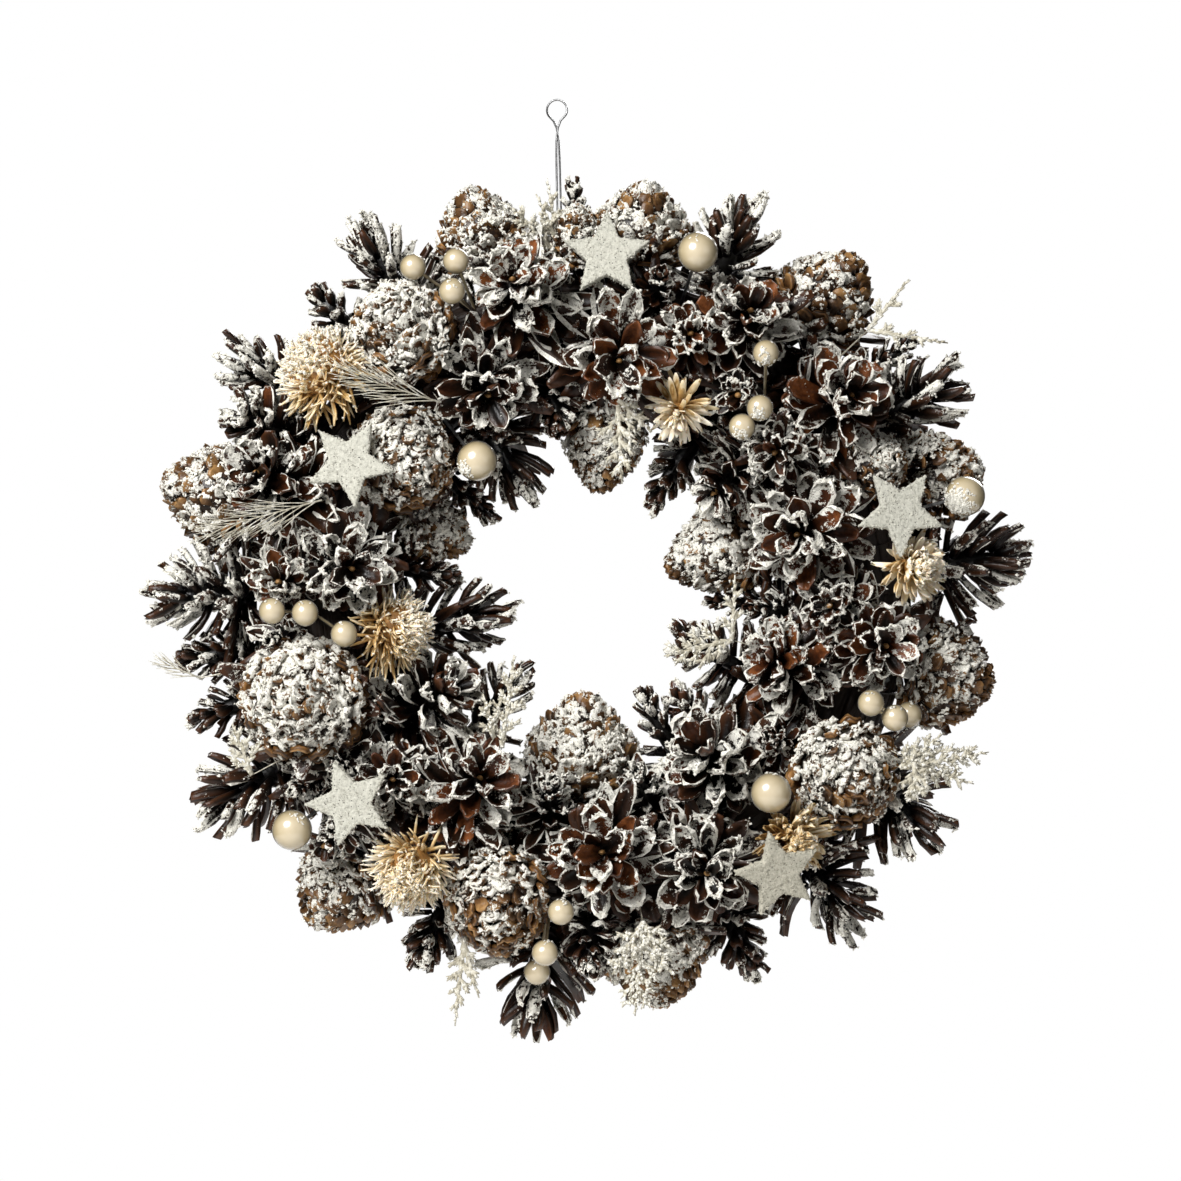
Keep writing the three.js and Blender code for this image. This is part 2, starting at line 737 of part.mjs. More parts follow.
const placed = [];
for (const [name, cones] of Object.entries(bunches)) {
  const mine = sites.filter((site) => site.owner === name);
  const glue = mine.slice(1).map((site, i) => strap(mine[i].foot, site.foot));
  const solid = joined([...mine.map(scaledBody), ...glue]);
  placed.push(solid);
  addMesh(name, geometryOf(solid), kinds[cones[0][0]].colour);
}
for (const site of sites.filter((one) => one.kind === "flower")) {
  const solid = scaledBody(site);
  placed.push(solid);
  addMesh(site.owner, geometryOf(solid), kinds.flower.colour);
}
for (const owner of new Set(sites.filter((one) => one.kind === "pearl").map((one) => one.owner))) {
  const mine = sites.filter((site) => site.owner === owner);
  const large = mine.length === 1;
  const pinned = mine.map((site) => pinnedPearl(site, large ? 8 : 6, large ? 5 : 4));
  const solid = joined(pinned).subtract(strawRoom);
  placed.push(solid);
  addMesh(owner, geometryOf(solid), "#e8dccb", 0.3);
}

const underStars = joined(placed);
stars.forEach((star, i) => {
  const geometry = settledStar(star, underStars);
  placed.push(solidOf(geometry));
  addMesh("star_" + (i + 1), geometry, "#e9e8e0", 0.9);
});

// Cypress and straw come last and are cut clear of what they pass
const cutters = [strawRoom, ...[solidOf(wire), ...placed].map((solid) => grown(solid, 1.5 * gap))];
for (const [name, sprays] of Object.entries(sprigs)) {
  let solid = joined(sprays.flatMap(spray));
  const box = new THREE.Box3().setFromBufferAttribute(geometryOf(solid).attributes.position);
  for (const cutter of cutters) {
    const { min, max } = cutter.boundingBox();
    if (box.intersectsBox(new THREE.Box3(vec(...min), vec(...max)))) solid = solid.subtract(cutter);
  }
  addMesh(name, geometryOf(largestBody(solid)), "#cfc5ae");
}

export default wreath;
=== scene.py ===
import math
import random
from functools import partial
from types import SimpleNamespace

import bmesh
import bpy
import numpy as np
from mathutils import Matrix, Quaternion, Vector, noise


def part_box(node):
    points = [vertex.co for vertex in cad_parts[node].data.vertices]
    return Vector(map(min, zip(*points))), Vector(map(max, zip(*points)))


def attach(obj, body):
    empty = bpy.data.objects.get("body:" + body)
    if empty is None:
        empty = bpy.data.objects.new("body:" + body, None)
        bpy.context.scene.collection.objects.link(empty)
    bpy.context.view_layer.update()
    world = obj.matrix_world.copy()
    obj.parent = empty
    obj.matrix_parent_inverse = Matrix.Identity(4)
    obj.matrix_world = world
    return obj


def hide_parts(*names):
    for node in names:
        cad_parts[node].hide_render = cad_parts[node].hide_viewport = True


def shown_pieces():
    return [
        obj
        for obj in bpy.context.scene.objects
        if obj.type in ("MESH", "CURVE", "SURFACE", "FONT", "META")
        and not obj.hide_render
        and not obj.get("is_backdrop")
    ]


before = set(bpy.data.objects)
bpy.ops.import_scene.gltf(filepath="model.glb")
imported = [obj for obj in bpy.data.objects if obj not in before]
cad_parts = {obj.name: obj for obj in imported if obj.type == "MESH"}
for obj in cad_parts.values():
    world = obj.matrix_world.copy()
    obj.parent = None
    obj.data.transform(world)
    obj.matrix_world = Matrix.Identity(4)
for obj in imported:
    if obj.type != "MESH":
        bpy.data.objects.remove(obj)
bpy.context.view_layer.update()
random.seed(11)

# The wreath's driving sizes, in millimetres
ring = {"radius": 112, "straw": 24, "back": 18}
wire = {
    "radius": 0.45, "eye": 4.4, "pixel": (557, 110), "depth": 6.5, "base": 132, "lean": math.radians(-4.6),
    "room": 3.2, "free": 12,
}
sight = {"perPixel": 0.411, "plane": -45, "distance": 2000, "centre": (590.5, 590.5), "ring": (586, 598)}
frameSide = 1181  # pixels of the photograph, both ways
mm = 0.001  # in the part's metres
gap = 0.3  # between pieces
interleave = 3  # how far a scale may reach between its neighbour's
goldenAngle = 2.4  # from one scale to the next, in radians
fullTurn = 6.28
lensPoint = Vector((
    (sight["centre"][0] - sight["ring"][0]) * sight["perPixel"],
    sight["plane"] - sight["distance"],
    (sight["ring"][1] - sight["centre"][1]) * sight["perPixel"],
))
front = Vector((0, -1, 0))


def seenAt(pixel, depth):
    # The point at depth y that the photograph shows at a pixel
    spread = sight["perPixel"] * (depth - lensPoint.y) / sight["distance"]
    return Vector((
        lensPoint.x + (pixel[0] - sight["centre"][0]) * spread,
        depth,
        lensPoint.z - (pixel[1] - sight["centre"][1]) * spread,
    ))


wireEye = seenAt(wire["pixel"], -wire["depth"])
wireFoot = Vector((math.sin(wire["lean"]), 0, math.cos(wire["lean"]))) * wire["base"]
wireFoot.y = -wire["depth"]
partOrigin = wireEye + Vector((0, 0, wire["eye"] - wire["radius"]))
toPart = Matrix.Scale(mm, 4) @ Matrix.Translation(-partOrigin)


def inScene(name, data):
    made = bpy.data.objects.new(name, data)
    bpy.context.scene.collection.objects.link(made)
    return made


# Camera first: level, square to the wreath, at the photograph's distance
camera = inScene("camera", bpy.data.cameras.new("camera"))
camera.location = toPart @ lensPoint
camera.rotation_euler = (math.radians(90), 0, 0)
sensorWidth = 36
camera.data.sensor_width = sensorWidth
camera.data.lens = sensorWidth * sight["distance"] / (frameSide * sight["perPixel"])
camera.data.clip_start = 0.05
camera.data.clip_end = 20
bpy.context.scene.camera = camera


# Materials
def hexColour(text):
    # sRGB hex to linear, as the shader sockets want it
    parts = [int(text[i:i + 2], 16) / 255 for i in (1, 3, 5)]
    return [p / 12.92 if p <= 0.04045 else ((p + 0.055) / 1.055) ** 2.4 for p in parts] + [1]


def feed(tree, node, inputs):
    # Each input gets a value, a link, or a link to another node's first output
    for key, value in inputs.items():
        if isinstance(value, bpy.types.Node):
            value = value.outputs[0]
        if isinstance(value, bpy.types.NodeSocket):
            tree.links.new(value, node.inputs[key])
        else:
            node.inputs[key].default_value = value


def addNode(tree, kind, inputs=None, stops=None, **settings):
    # One shader node with its settings, its inputs and, on a colour ramp, its stops
    node = tree.nodes.new("ShaderNode" + kind)
    for key, value in settings.items():
        setattr(node, key, value)
    feed(tree, node, inputs or {})
    if stops:
        elements = node.color_ramp.elements
        while len(elements) < len(stops):
            elements.new(0.5)
        for element, (position, colour) in zip(elements, stops):
            element.position = position
            element.color = hexColour(colour)
    return node


def newMaterial(name, fixed):
    # Gives the material, what adds a node to it, what dresses its shader, and object coordinates
    material = bpy.data.materials.new(name)
    material.use_nodes = True
    tree = material.node_tree
    shader = tree.nodes["Principled BSDF"]
    feed(tree, shader, fixed)
    place = addNode(tree, "TexCoord").outputs["Object"]
    return material, partial(addNode, tree), partial(feed, tree, shader), place


# A noise's Scale is 1000 over the size of its lumps in millimetres
# The snow's grey stops are painted shade in the hollows between the flakes
snowLook = {"grain": 0.9, "patch": 4.5, "stops": [(0.33, "#8d8a80"), (0.42, "#d5d2c7"), (0.52, "#ebe8de")]}


def snowWithPaintedShade(add, place):
    # White flakes with painted grey shade in the hollows between them
    grain = {"Vector": place, "Scale": 1000 / snowLook["grain"], "Detail": 3, "Roughness": 0.75}
    return add("ValToRGB", {"Fac": add("TexNoise", grain)}, snowLook["stops"])


def scaleMaterial(name, inner, outer, edge):
    # Pine cone scale: waxy inner face, duller back, a paler lip, painted shade towards the root, and snow
    # frozen to its rims.
    # The finish attribute holds rim, tone, place along the scale (minus on its back) and snow.
    material, add, dress, place = newMaterial(name, {"Specular IOR Level": 0.35})
    finish = add("Attribute", attribute_name="finish").outputs
    rim, tone, along = add("SeparateColor", {0: finish["Color"]}).outputs
    outward = add("Math", {0: along}, operation="ABSOLUTE")

    fibre, cloud, flakes, patch = [
        add("TexNoise", {"Vector": place, "Scale": 1000 / size, "Detail": detail, "Roughness": rough})
        for size, detail, rough in ((1.6, 3, 0.6), (9, 2, 0.5), (1.1, 3, 0.75), (snowLook["patch"], 3, 0.6))
    ]

    # Wood: fibres and clouds of tone, darkest at the root as painted shade between the scales, palest on the
    # lip
    mottle = add("Math", {0: cloud, 1: 0.5, 2: -0.6}, operation="MULTIPLY_ADD")
    mottle = add("Math", {0: fibre, 1: 0.7, 2: mottle}, operation="MULTIPLY_ADD")
    # Painted shade: the wood darkens towards the root, where the scales shade each other
    depth = add("Math", {0: outward, 1: 0.55, 2: -0.38}, operation="MULTIPLY_ADD")
    shade = add("Math", {0: add("Math", {0: tone, 1: mottle}, operation="ADD"), 1: depth},
                operation="ADD", use_clamp=True)
    isInner = add("Math", {0: along, 1: 0.0}, operation="GREATER_THAN")
    faces = {0: isInner, 6: add("ValToRGB", {"Fac": shade}, outer), 7: add("ValToRGB", {"Fac": shade}, inner)}
    wood = add("Mix", faces, data_type="RGBA").outputs[2]
    lip = add("Math", {0: outward, 1: rim}, operation="MULTIPLY")
    lip = add("Math", {0: lip, 1: 0.4}, operation="MULTIPLY")
    wood = add("Mix", {0: lip, 6: wood, 7: hexColour(edge)}, data_type="RGBA").outputs[2]

    # Snow: ragged patches, most on rims, on outer ends, and where the surface looks up or forward
    facing = add("SeparateXYZ", {0: add("NewGeometry").outputs["Normal"]}).outputs
    lit = add("Math", {0: facing["Z"], 1: 0.14}, operation="MULTIPLY")
    lit = add("Math", {0: facing["Y"], 1: -0.12, 2: lit}, operation="MULTIPLY_ADD")
    ragged = add("Math", {0: patch, 1: 3.2, 2: -2.7}, operation="MULTIPLY_ADD")
    ragged = add("Math", {0: flakes, 1: 2.2, 2: ragged}, operation="MULTIPLY_ADD")
    edges = add("Math", {0: outward, 1: 0.3, 2: lit}, operation="MULTIPLY_ADD")
    edges = add("Math", {0: rim, 1: 0.4, 2: edges}, operation="MULTIPLY_ADD")
    cover = {0: finish["Alpha"], 1: 1.15, 2: add("Math", {0: edges, 1: ragged}, operation="ADD")}
    cover = add("Math", cover, operation="MULTIPLY_ADD")
    mask = add("MapRange", {"Value": cover, "From Min": 1.25, "From Max": 1.3})
    crisp = add("Math", {0: flakes, 1: 1.6, 2: 0.4}, operation="MULTIPLY_ADD")
    height = add("Math", {0: mask, 1: crisp}, operation="MULTIPLY")
    dress({
        "Base Color": add("Mix", {0: mask, 6: wood, 7: snowWithPaintedShade(add, place)}, data_type="RGBA").outputs[2],
        "Roughness": add("MapRange", {"Value": mask, "To Min": 0.36, "To Max": 0.95}),
        "Normal": add("Bump", {"Height": height, "Distance": 0.4 * mm,
                               "Normal": add("Bump", {"Height": fibre, "Distance": 0.3 * mm})}),
    })
    return material


darkScale = scaleMaterial(
    "dark pine scale",
    inner=[(0.0, "#040201"), (0.3, "#150903"), (0.65, "#43210e"), (1.0, "#814b26")],
    outer=[(0.0, "#030201"), (0.5, "#100a06"), (1.0, "#352014")],
    edge="#6d4226",
)
tanScale = scaleMaterial(
    "golden pine scale",
    inner=[(0.0, "#1e1008"), (0.5, "#64421f"), (1.0, "#a07445")],
    outer=[(0.0, "#1c1008"), (0.5, "#5e4024"), (1.0, "#a37c4c")],
    edge="#b08a58",
)


def snowMaterial():
    # Sprayed artificial snow: matt white grains in clumps, with painted grey shade in their hollows
    material, add, dress, place = newMaterial("flocked snow", {"Roughness": 0.9})
    grit = add("TexNoise", {"Vector": place, "Scale": 1000 / 0.8, "Detail": 3, "Roughness": 0.7})
    relief = add("Bump", {"Height": grit, "Distance": 0.35 * mm})
    dress({"Base Color": snowWithPaintedShade(add, place), "Normal": relief})
    return material


def petalMaterial():
    # Dried strawflower: papery, golden at the root and cream at the tip, with painted shade that darkens the
    # root further
    fixed = {"Roughness": 0.7, "Subsurface Weight": 0.15, "Subsurface Radius": (0.003, 0.002, 0.001)}
    material, add, dress, place = newMaterial("dried petal", fixed)
    finish = add("Attribute", attribute_name="finish").outputs
    _, tone, along = add("SeparateColor", {0: finish["Color"]}).outputs
    streak = add("TexNoise", {"Vector": place, "Scale": 1000 / 2.2, "Detail": 3, "Roughness": 0.6})
    streak = add("Math", {0: streak, 1: 0.5, 2: -0.25}, operation="MULTIPLY_ADD")
    outward = add("Math", {0: along}, operation="ABSOLUTE")
    # Darker towards the root: golden colour, made deeper by painted shade between the petals
    shade = add("Math", {0: outward, 1: 0.6, 2: -0.12}, operation="MULTIPLY_ADD")
    shade = add("Math", {0: tone, 1: 0.5, 2: shade}, operation="MULTIPLY_ADD")
    shade = add("Math", {0: shade, 1: streak}, operation="ADD")
    stops = [(0.0, "#4a2c10"), (0.2, "#8c622c"), (0.42, "#c09a5c"), (0.66, "#decaa0"), (1.0, "#f1e8d6")]
    dress({"Base Color": add("ValToRGB", {"Fac": shade}, stops)})
    return material


def pearlMaterial():
    # Lacquered bead: cream under a clear coat, with painted shade that browns it towards its outline
    fixed = {"Roughness": 0.26, "Coat Weight": 0.9, "Coat Roughness": 0.07, "Sheen Weight": 0.15}
    material, add, dress, place = newMaterial("pearl lacquer", fixed)
    # Painted shade: the colour darkens where the surface turns away towards the outline
    paintedRimShade = add("LayerWeight", {"Blend": 0.35}).outputs["Facing"]
    cloudy = add("TexNoise", {"Vector": place, "Scale": 1000 / 6, "Detail": 2, "Roughness": 0.6})
    cloudy = add("Math", {0: cloudy, 1: 0.2, 2: paintedRimShade}, operation="MULTIPLY_ADD")
    stops = [(0.05, "#cdbfa4"), (0.4, "#aa9a78"), (0.75, "#706343"), (1.0, "#4a402a")]
    dress({"Base Color": add("ValToRGB", {"Fac": cloudy}, stops)})
    return material


def starMaterial(name, shades):
    # Flocked board: off-white grains over grey, with dark specks of 0.4 mm
    material, add, dress, place = newMaterial(name, {"Roughness": 0.92})
    coat = add("TexNoise", {"Vector": place, "Scale": 1000 / 1.3, "Detail": 4, "Roughness": 0.8})
    base = add("ValToRGB", {"Fac": coat}, list(zip((0.3, 0.43, 0.62), shades)))
    specks = add("TexVoronoi", {"Vector": place, "Scale": 1000 / 1.3})
    spot = add("MapRange", {"Value": specks.outputs["Distance"], "From Min": 0.14, "From Max": 0.24})
    pick = add("TexNoise", {"Vector": place, "Scale": 1000 / 2.4, "Detail": 2, "Roughness": 0.6})
    pick = add("Math", {0: pick, 1: 0.5}, operation="GREATER_THAN")
    dark = add("Math", {0: 1.0, 1: spot}, operation="SUBTRACT")
    dark = add("Math", {0: dark, 1: pick}, operation="MULTIPLY")
    dress({
        "Base Color": add("Mix", {0: dark, 6: base, 7: hexColour("#4a4843")}, data_type="RGBA").outputs[2],
        "Normal": add("Bump", {"Height": coat, "Distance": 0.9 * mm}),
    })
    return material


def twigMaterial():
    # Bleached cypress: dry cream fibres, whiter in patches
    material, add, dress, place = newMaterial("bleached twig", {"Roughness": 0.75})
    patch = add("TexNoise", {"Vector": place, "Scale": 1000 / 3, "Detail": 4, "Roughness": 0.7})
    bark = add("TexNoise", {"Vector": place, "Scale": 1000 / 0.8, "Detail": 3, "Roughness": 0.6})
    stops = [(0.3, "#8f8772"), (0.5, "#c0baa8"), (0.68, "#e2e0d7")]
    dress({
        "Base Color": add("ValToRGB", {"Fac": patch}, stops),
        "Normal": add("Bump", {"Height": bark, "Distance": 0.3 * mm}),
    })
    return material


def strawMaterial():
    # Rye straw: glossy golden stalks along the ring, browned with glue and painted shade where the cones sit
    material, add, dress, place = newMaterial("bundled straw", {"Roughness": 0.55})
    centre = toPart @ Vector((0, 0, 0))
    x, y, z = add("SeparateXYZ", {0: add("VectorMath", {0: place, 1: -centre}, operation="ADD")}).outputs
    turn = add("Math", {0: add("Math", {0: x, 1: z}, operation="ARCTAN2"), 1: 0.006}, operation="MULTIPLY")
    out = add("VectorMath", {0: add("CombineXYZ", {0: x, 2: z})}, operation="LENGTH").outputs["Value"]
    along = add("CombineXYZ", {0: turn, 1: y, 2: out})
    stalk = add("TexNoise", {"Vector": along, "Scale": 1000 / 2.6, "Detail": 4, "Roughness": 0.6})
    colour = add("ValToRGB", {"Fac": stalk}, [(0.3, "#6e5026"), (0.5, "#b8924e"), (0.72, "#dcc07e")])
    # The front, where the cones sit, is glue brown made darker still as painted shade
    glueAndShade = add("MapRange", {"Value": y, "From Min": -0.012, "From Max": -0.002})
    dress({
        "Base Color": add("Mix", {0: glueAndShade, 6: hexColour("#241509"), 7: colour}, data_type="RGBA").outputs[2],
        "Normal": add("Bump", {"Height": stalk, "Distance": 1.2 * mm}),
    })
    return material


def wireMaterial():
    # Annealed steel wire: dull grey with a faint drawn streak
    material, add, dress, place = newMaterial("annealed wire", {"Metallic": 1.0, "Roughness": 0.42})
    streak = add("TexNoise", {"Vector": place, "Scale": 1000 / 1.5, "Detail": 3, "Roughness": 0.6})
    dress({"Base Color": add("ValToRGB", {"Fac": streak}, [(0.3, "#6a6a6a"), (0.7, "#a8a8a8")])})
    return material


snow = snowMaterial()
petal = petalMaterial()
pearl = pearlMaterial()
paleStar = starMaterial("pale speckled star", ("#7d7b71", "#bcbaad", "#d3d1c4"))
roughStar = starMaterial("rough speckled star", ("#78756a", "#a9a595", "#c6c1b1"))
twig = twigMaterial()
straw = strawMaterial()
steel = wireMaterial()
print("materials made")


# Master shapes: small meshes that are stamped many times, each with a finish on its points
def keepMaster(name, bm, finishOf=lambda co: (0, 0.5, 0, 1), slot=2, smooth=False):
    # Faceted snow, where nothing else is asked for
    mesh = bpy.data.meshes.new(name)
    bmesh.ops.recalc_face_normals(bm, faces=bm.faces)
    for face in bm.faces:
        face.smooth = smooth
        face.material_index = slot
    bm.to_mesh(mesh)
    bm.free()
    mesh.attributes.new("finish", "FLOAT_COLOR", "POINT")
    points = np.array([v.co for v in mesh.vertices], float)
    finish = np.array([finishOf(v.co) for v in mesh.vertices], np.float32)
    return SimpleNamespace(mesh=mesh, points=points, finish=finish)


def stamp(bm, master, matrix, tone=0.5, snowed=0.5):
    # One copy of a master shape; gives back where its points went
    m = np.array(matrix)
    points = master.points @ m[:3, :3].T + m[:3, 3]
    finish = master.finish.copy()
    finish[:, 1] = tone
    finish[:, 3] *= snowed
    master.mesh.vertices.foreach_set("co", points.astype(np.float32).ravel())
    master.mesh.attributes["finish"].data.foreach_set("color", finish.ravel())
    bm.from_mesh(master.mesh)
    return points


def halfWidth(shape, y):
    # Half the width of a blade at y, from its root over its widest place to its blunt tip
    swell = shape["root"] + (1 - shape["root"]) * math.sin(math.pi / 2 * min(1, y / shape["widest"]))
    past = max(0, (y - shape["widest"]) / (1 - shape["widest"]))
    return 0.5 * swell * math.sqrt(max(shape["blunt"], 1 - past ** 2))


def rise(shape, share, y):
    # Height of a blade's hollow face, share of the way from its middle line to its rim
    return shape["cup"] * share ** 2 + shape["curl"] * y ** 2


def bladeMaster(name, shape, slot):
    # A spoon-shaped blade from y 0 to 1, half a unit wide on each side, hollow on its +Z face
    rows = shape["rows"]
    bm = bmesh.new()
    bmesh.ops.create_grid(bm, x_segments=shape["across"], y_segments=len(rows) - 1, size=0.5)
    bend = shape["bend"] * random.uniform(-1, 1)
    for v in bm.verts:
        y = rows[round((v.co.y + 0.5) * (len(rows) - 1))]
        wobble = shape["wobble"] * random.uniform(-1, 1)
        x = 2 * v.co.x * halfWidth(shape, y) * (1 + wobble) + bend * y ** 2
        v.co = (x, y, rise(shape, 2 * v.co.x, y) + 0.5 * wobble)
    bmesh.ops.solidify(bm, geom=bm.faces[:], thickness=shape["thick"])
    bm.normal_update()
    for v in bm.verts:
        if v.normal.z < -0.2 and v.co.y > shape["widest"] * 0.8:
            v.co.z -= shape["heel"]  # the thick end of the scale's back

    def finishOf(co):
        share = (co.x - bend * co.y ** 2) / halfWidth(shape, max(0, co.y))
        rim = max(min(1, max(0, abs(share) - 0.5) / 0.4), max(0, (co.y - 0.8) / 0.2))
        isBack = co.z < rise(shape, share, co.y) - 0.5 * shape["thick"]
        rim *= shape["rimmed"] if co.y > 0.3 else 0
        return rim, 0.5, -max(co.y, 0) if isBack else max(co.y, 0.01), 1

    master = keepMaster(name, bm, finishOf, slot, smooth=True)
    master.rims = [rimMaster(shape, bend) for _ in range(shape["rims"])]
    return master


def rimMaster(shape, bend):
    # Snow frozen round a blade's rim: a ragged rope that thins out here and there
    edge = [(-halfWidth(shape, y), y) for y in (0.42, 0.66, 0.85, 0.97)]
    route = edge + [(0, 1.01)] + [(-x, y) for x, y in reversed(edge)]
    sides = 3
    bm = bmesh.new()
    bmesh.ops.create_grid(bm, x_segments=sides, y_segments=len(route) - 1, size=0.5)
    puff = [random.uniform(0.35, 1.6) for _ in route]
    for _ in range(shape["breaks"]):
        puff[random.randrange(len(route))] = -0.3
    puff[0] = puff[-1] = 0.2
    lumpy = [[random.uniform(0.5, 1.35) for _ in range(sides)] for _ in route]
    for v in bm.verts:
        i = round((v.co.y + 0.5) * (len(route) - 1))
        k = round((v.co.x + 0.5) * sides) % sides
        x, y = route[i]
        out = Vector((x, (y - 0.75) * 0.5, 0)).normalized()
        angle = 2 * math.pi * k / sides + 0.4
        swell = puff[i] * lumpy[i][k]
        v.co = (
            x + bend * y ** 2 + out.x * math.cos(angle) * swell * shape["rope"][0],
            y + out.y * math.cos(angle) * swell * shape["rope"][1],
            rise(shape, 1 if i != len(edge) else 0, y) + (0.35 + math.sin(angle)) * swell * shape["rope"][2],
        )
    bmesh.ops.remove_doubles(bm, verts=bm.verts, dist=1e-5)
    bmesh.ops.holes_fill(bm, edges=bm.edges, sides=sides)
    return keepMaster("rim", bm)


# Rows are places along a blade, and the rest is in shares of its length and width. The wobble, the
# bend, and the breaks in the snow on the rim differ from one master to the next.
spoon = {
    "rows": (0, 0.35, 0.62, 0.83, 0.95, 1.0), "across": 3, "root": 0.45, "widest": 0.7, "blunt": 0.25,
    "cup": 0.36, "curl": 0.22, "thick": 0.14, "heel": 0.1, "wobble": 0.1, "bend": 0.08,
    "rope": (0.085, 0.042, 0.11), "breaks": 6, "rims": 4, "rimmed": 1,
}
chip = {**spoon, "rows": (0, 0.5, 0.82, 1.0), "across": 2, "rims": 2, "blunt": 0.15}
finger = {
    **spoon, "rows": (0, 0.3, 0.6, 0.85, 1.0), "across": 2, "root": 0.6, "widest": 0.5, "blunt": 0.15,
    "cup": 0.2, "curl": 0.8, "thick": 0.3, "bend": 0.9, "rope": (0.14, 0.036, 0.09), "rims": 2,
}
shield = {
    **spoon, "rows": (0, 0.45, 0.8, 1.0), "across": 2, "root": 0.75, "widest": 0.6, "cup": -0.22,
    "curl": -0.12, "thick": 0.3, "heel": 0.16, "bend": 0.05, "wobble": 0.16, "rims": 0, "rimmed": 0.25,
}
needle = {
    **spoon, "rows": (0, 0.4, 0.75, 1.0), "across": 1, "root": 0.5, "widest": 0.6, "blunt": 0.1,
    "cup": 0.05, "curl": 0.5, "thick": 0.07, "heel": 0, "wobble": 0.05, "bend": 2.2, "rims": 0,
}
ribbon = {
    **spoon, "rows": (0, 0.3, 0.6, 0.85, 1.0), "across": 2, "root": 0.6, "widest": 0.6, "blunt": 0.1,
    "cup": 0.16, "curl": 0.5, "thick": 0.06, "heel": 0, "wobble": 0.16, "bend": 0.6, "rims": 0,
}
spoons = [bladeMaster("spoon", spoon, 0) for _ in range(6)]
chips = [bladeMaster("chip", chip, 0) for _ in range(5)]
fingers = [bladeMaster("finger", finger, 0) for _ in range(8)]
shields = [bladeMaster("shield", shield, 1) for _ in range(6)]
needles = [bladeMaster("needle", needle, 0) for _ in range(8)]
ribbons = [bladeMaster("ribbon", ribbon, 0) for _ in range(6)]


def spun(axis, size=4, most=fullTurn):
    # A turn by chance about an axis
    return Matrix.Rotation(random.uniform(0, most), size, axis)


def grainMaster():
    # A broken grain of snow, one unit across
    bm = bmesh.new()
    bmesh.ops.create_uvsphere(bm, u_segments=4, v_segments=2, radius=0.5)
    for v in bm.verts:
        v.co *= random.uniform(0.6, 1.4)
    return keepMaster("grain", bm)


def clumpMaster():
    # A fluffy clump of frozen flakes, about one unit across, with its flat side down
    bm = bmesh.new()
    for _ in range(6):
        radius = random.uniform(0.12, 0.22)
        made = bmesh.ops.create_uvsphere(bm, u_segments=4, v_segments=2, radius=radius)
        way = Vector([random.gauss(0, 1) for _ in range(3)]).normalized() * random.uniform(0.1, 0.42)
        way.z = abs(way.z) * 0.8
        spin = spun("X", 3) @ spun("Z", 3)
        for v in made["verts"]:
            v.co = spin @ (v.co * random.uniform(0.6, 1.4)) + way
    return keepMaster("clump", bm)


grains = [grainMaster() for _ in range(8)]
clumps = [clumpMaster() for _ in range(10)]


def coreMaster(along, snowed, slot):
    # The body that scales stand on, one unit in radius
    bm = bmesh.new()
    bmesh.ops.create_icosphere(bm, subdivisions=2, radius=1)
    return keepMaster("core", bm, lambda co: (0, 0.5, along, snowed), slot, smooth=True)


# Cores sit at the scales' root end, so the painted shade of the scale material darkens them
core = coreMaster(-0.1, 0, 0)
tanCore = coreMaster(-0.6, 1, 1)


def turned(axis):
    # Any rotation that takes +Z to an axis
    return Vector((0, 0, 1)).rotation_difference(axis).to_matrix().to_4x4()


def upright(point, axis, broad, high, deep=None):
    # Matrix of a form that stands at a point with its +Z along an axis
    return Matrix.Translation(point) @ turned(axis) @ Matrix.Diagonal((broad, deep or broad, high, 1))


def smoothed(bm):
    for face in bm.faces:
        face.smooth = True


def dropSnow(bm, point, size):
    spin = spun("Z") @ spun("X", most=fullTurn / 2)
    sizes = [size * random.uniform(0.75, 1.25) for _ in range(3)] + [1]
    stamp(bm, random.choice(grains), Matrix.Translation(point) @ spin @ Matrix.Diagonal(sizes))


def dropClump(bm, point, normal, size):
    spin = turned(normal) @ spun("Z")
    sizes = [size * random.uniform(*span) for span in ((0.8, 1.3), (0.8, 1.3), (0.5, 0.9))] + [1]
    stamp(bm, random.choice(clumps), Matrix.Translation(point) @ spin @ Matrix.Diagonal(sizes))


def placed(root, along, up, length, width, depth):
    # Matrix of a blade: +Y along, +Z up, +X across
    across = along.cross(up)
    return Matrix((
        (across.x * width, along.x * length, up.x * depth, root.x),
        (across.y * width, along.y * length, up.y * depth, root.y),
        (across.z * width, along.z * length, up.z * depth, root.z),
        (0, 0, 0, 1),
    ))


def shaped(name, bm, place, materials):
    # An object from a bmesh, with its place in its mesh
    mesh = bpy.data.meshes.new(name)
    bm.to_mesh(mesh)
    bm.free()
    mesh.transform(place)
    for material in materials:
        mesh.materials.append(material)
    return inScene(name, mesh)


def finished(node, bm, materials):
    # In the part's frame, on the root body, in place of its node
    piece = shaped(node.replace("_", " ").title().replace(" ", ""), bm, toPart, materials)
    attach(piece, "root")
    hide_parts(node)


# How far each kind stands from the straw's centre line, its foot's radius, its top in shares of its
# own radius, and its usual share of snow and tone of wood
growth = {
    "open": {"reach": 48, "foot": 5.5, "top": 0.6, "snow": 0.56, "tone": 0.38},
    "finger": {"reach": 48, "foot": 5.5, "top": 0.6, "snow": 0.62, "tone": -0.6},
    "closed": {"reach": 44, "foot": 6, "top": 0.8, "snow": 0.7, "tone": 0.55},
    "small": {"reach": 45, "foot": 3.5, "top": 0.62, "snow": 0.55, "tone": 0.15},
    "flower": {"reach": 58, "foot": 1.8},
}
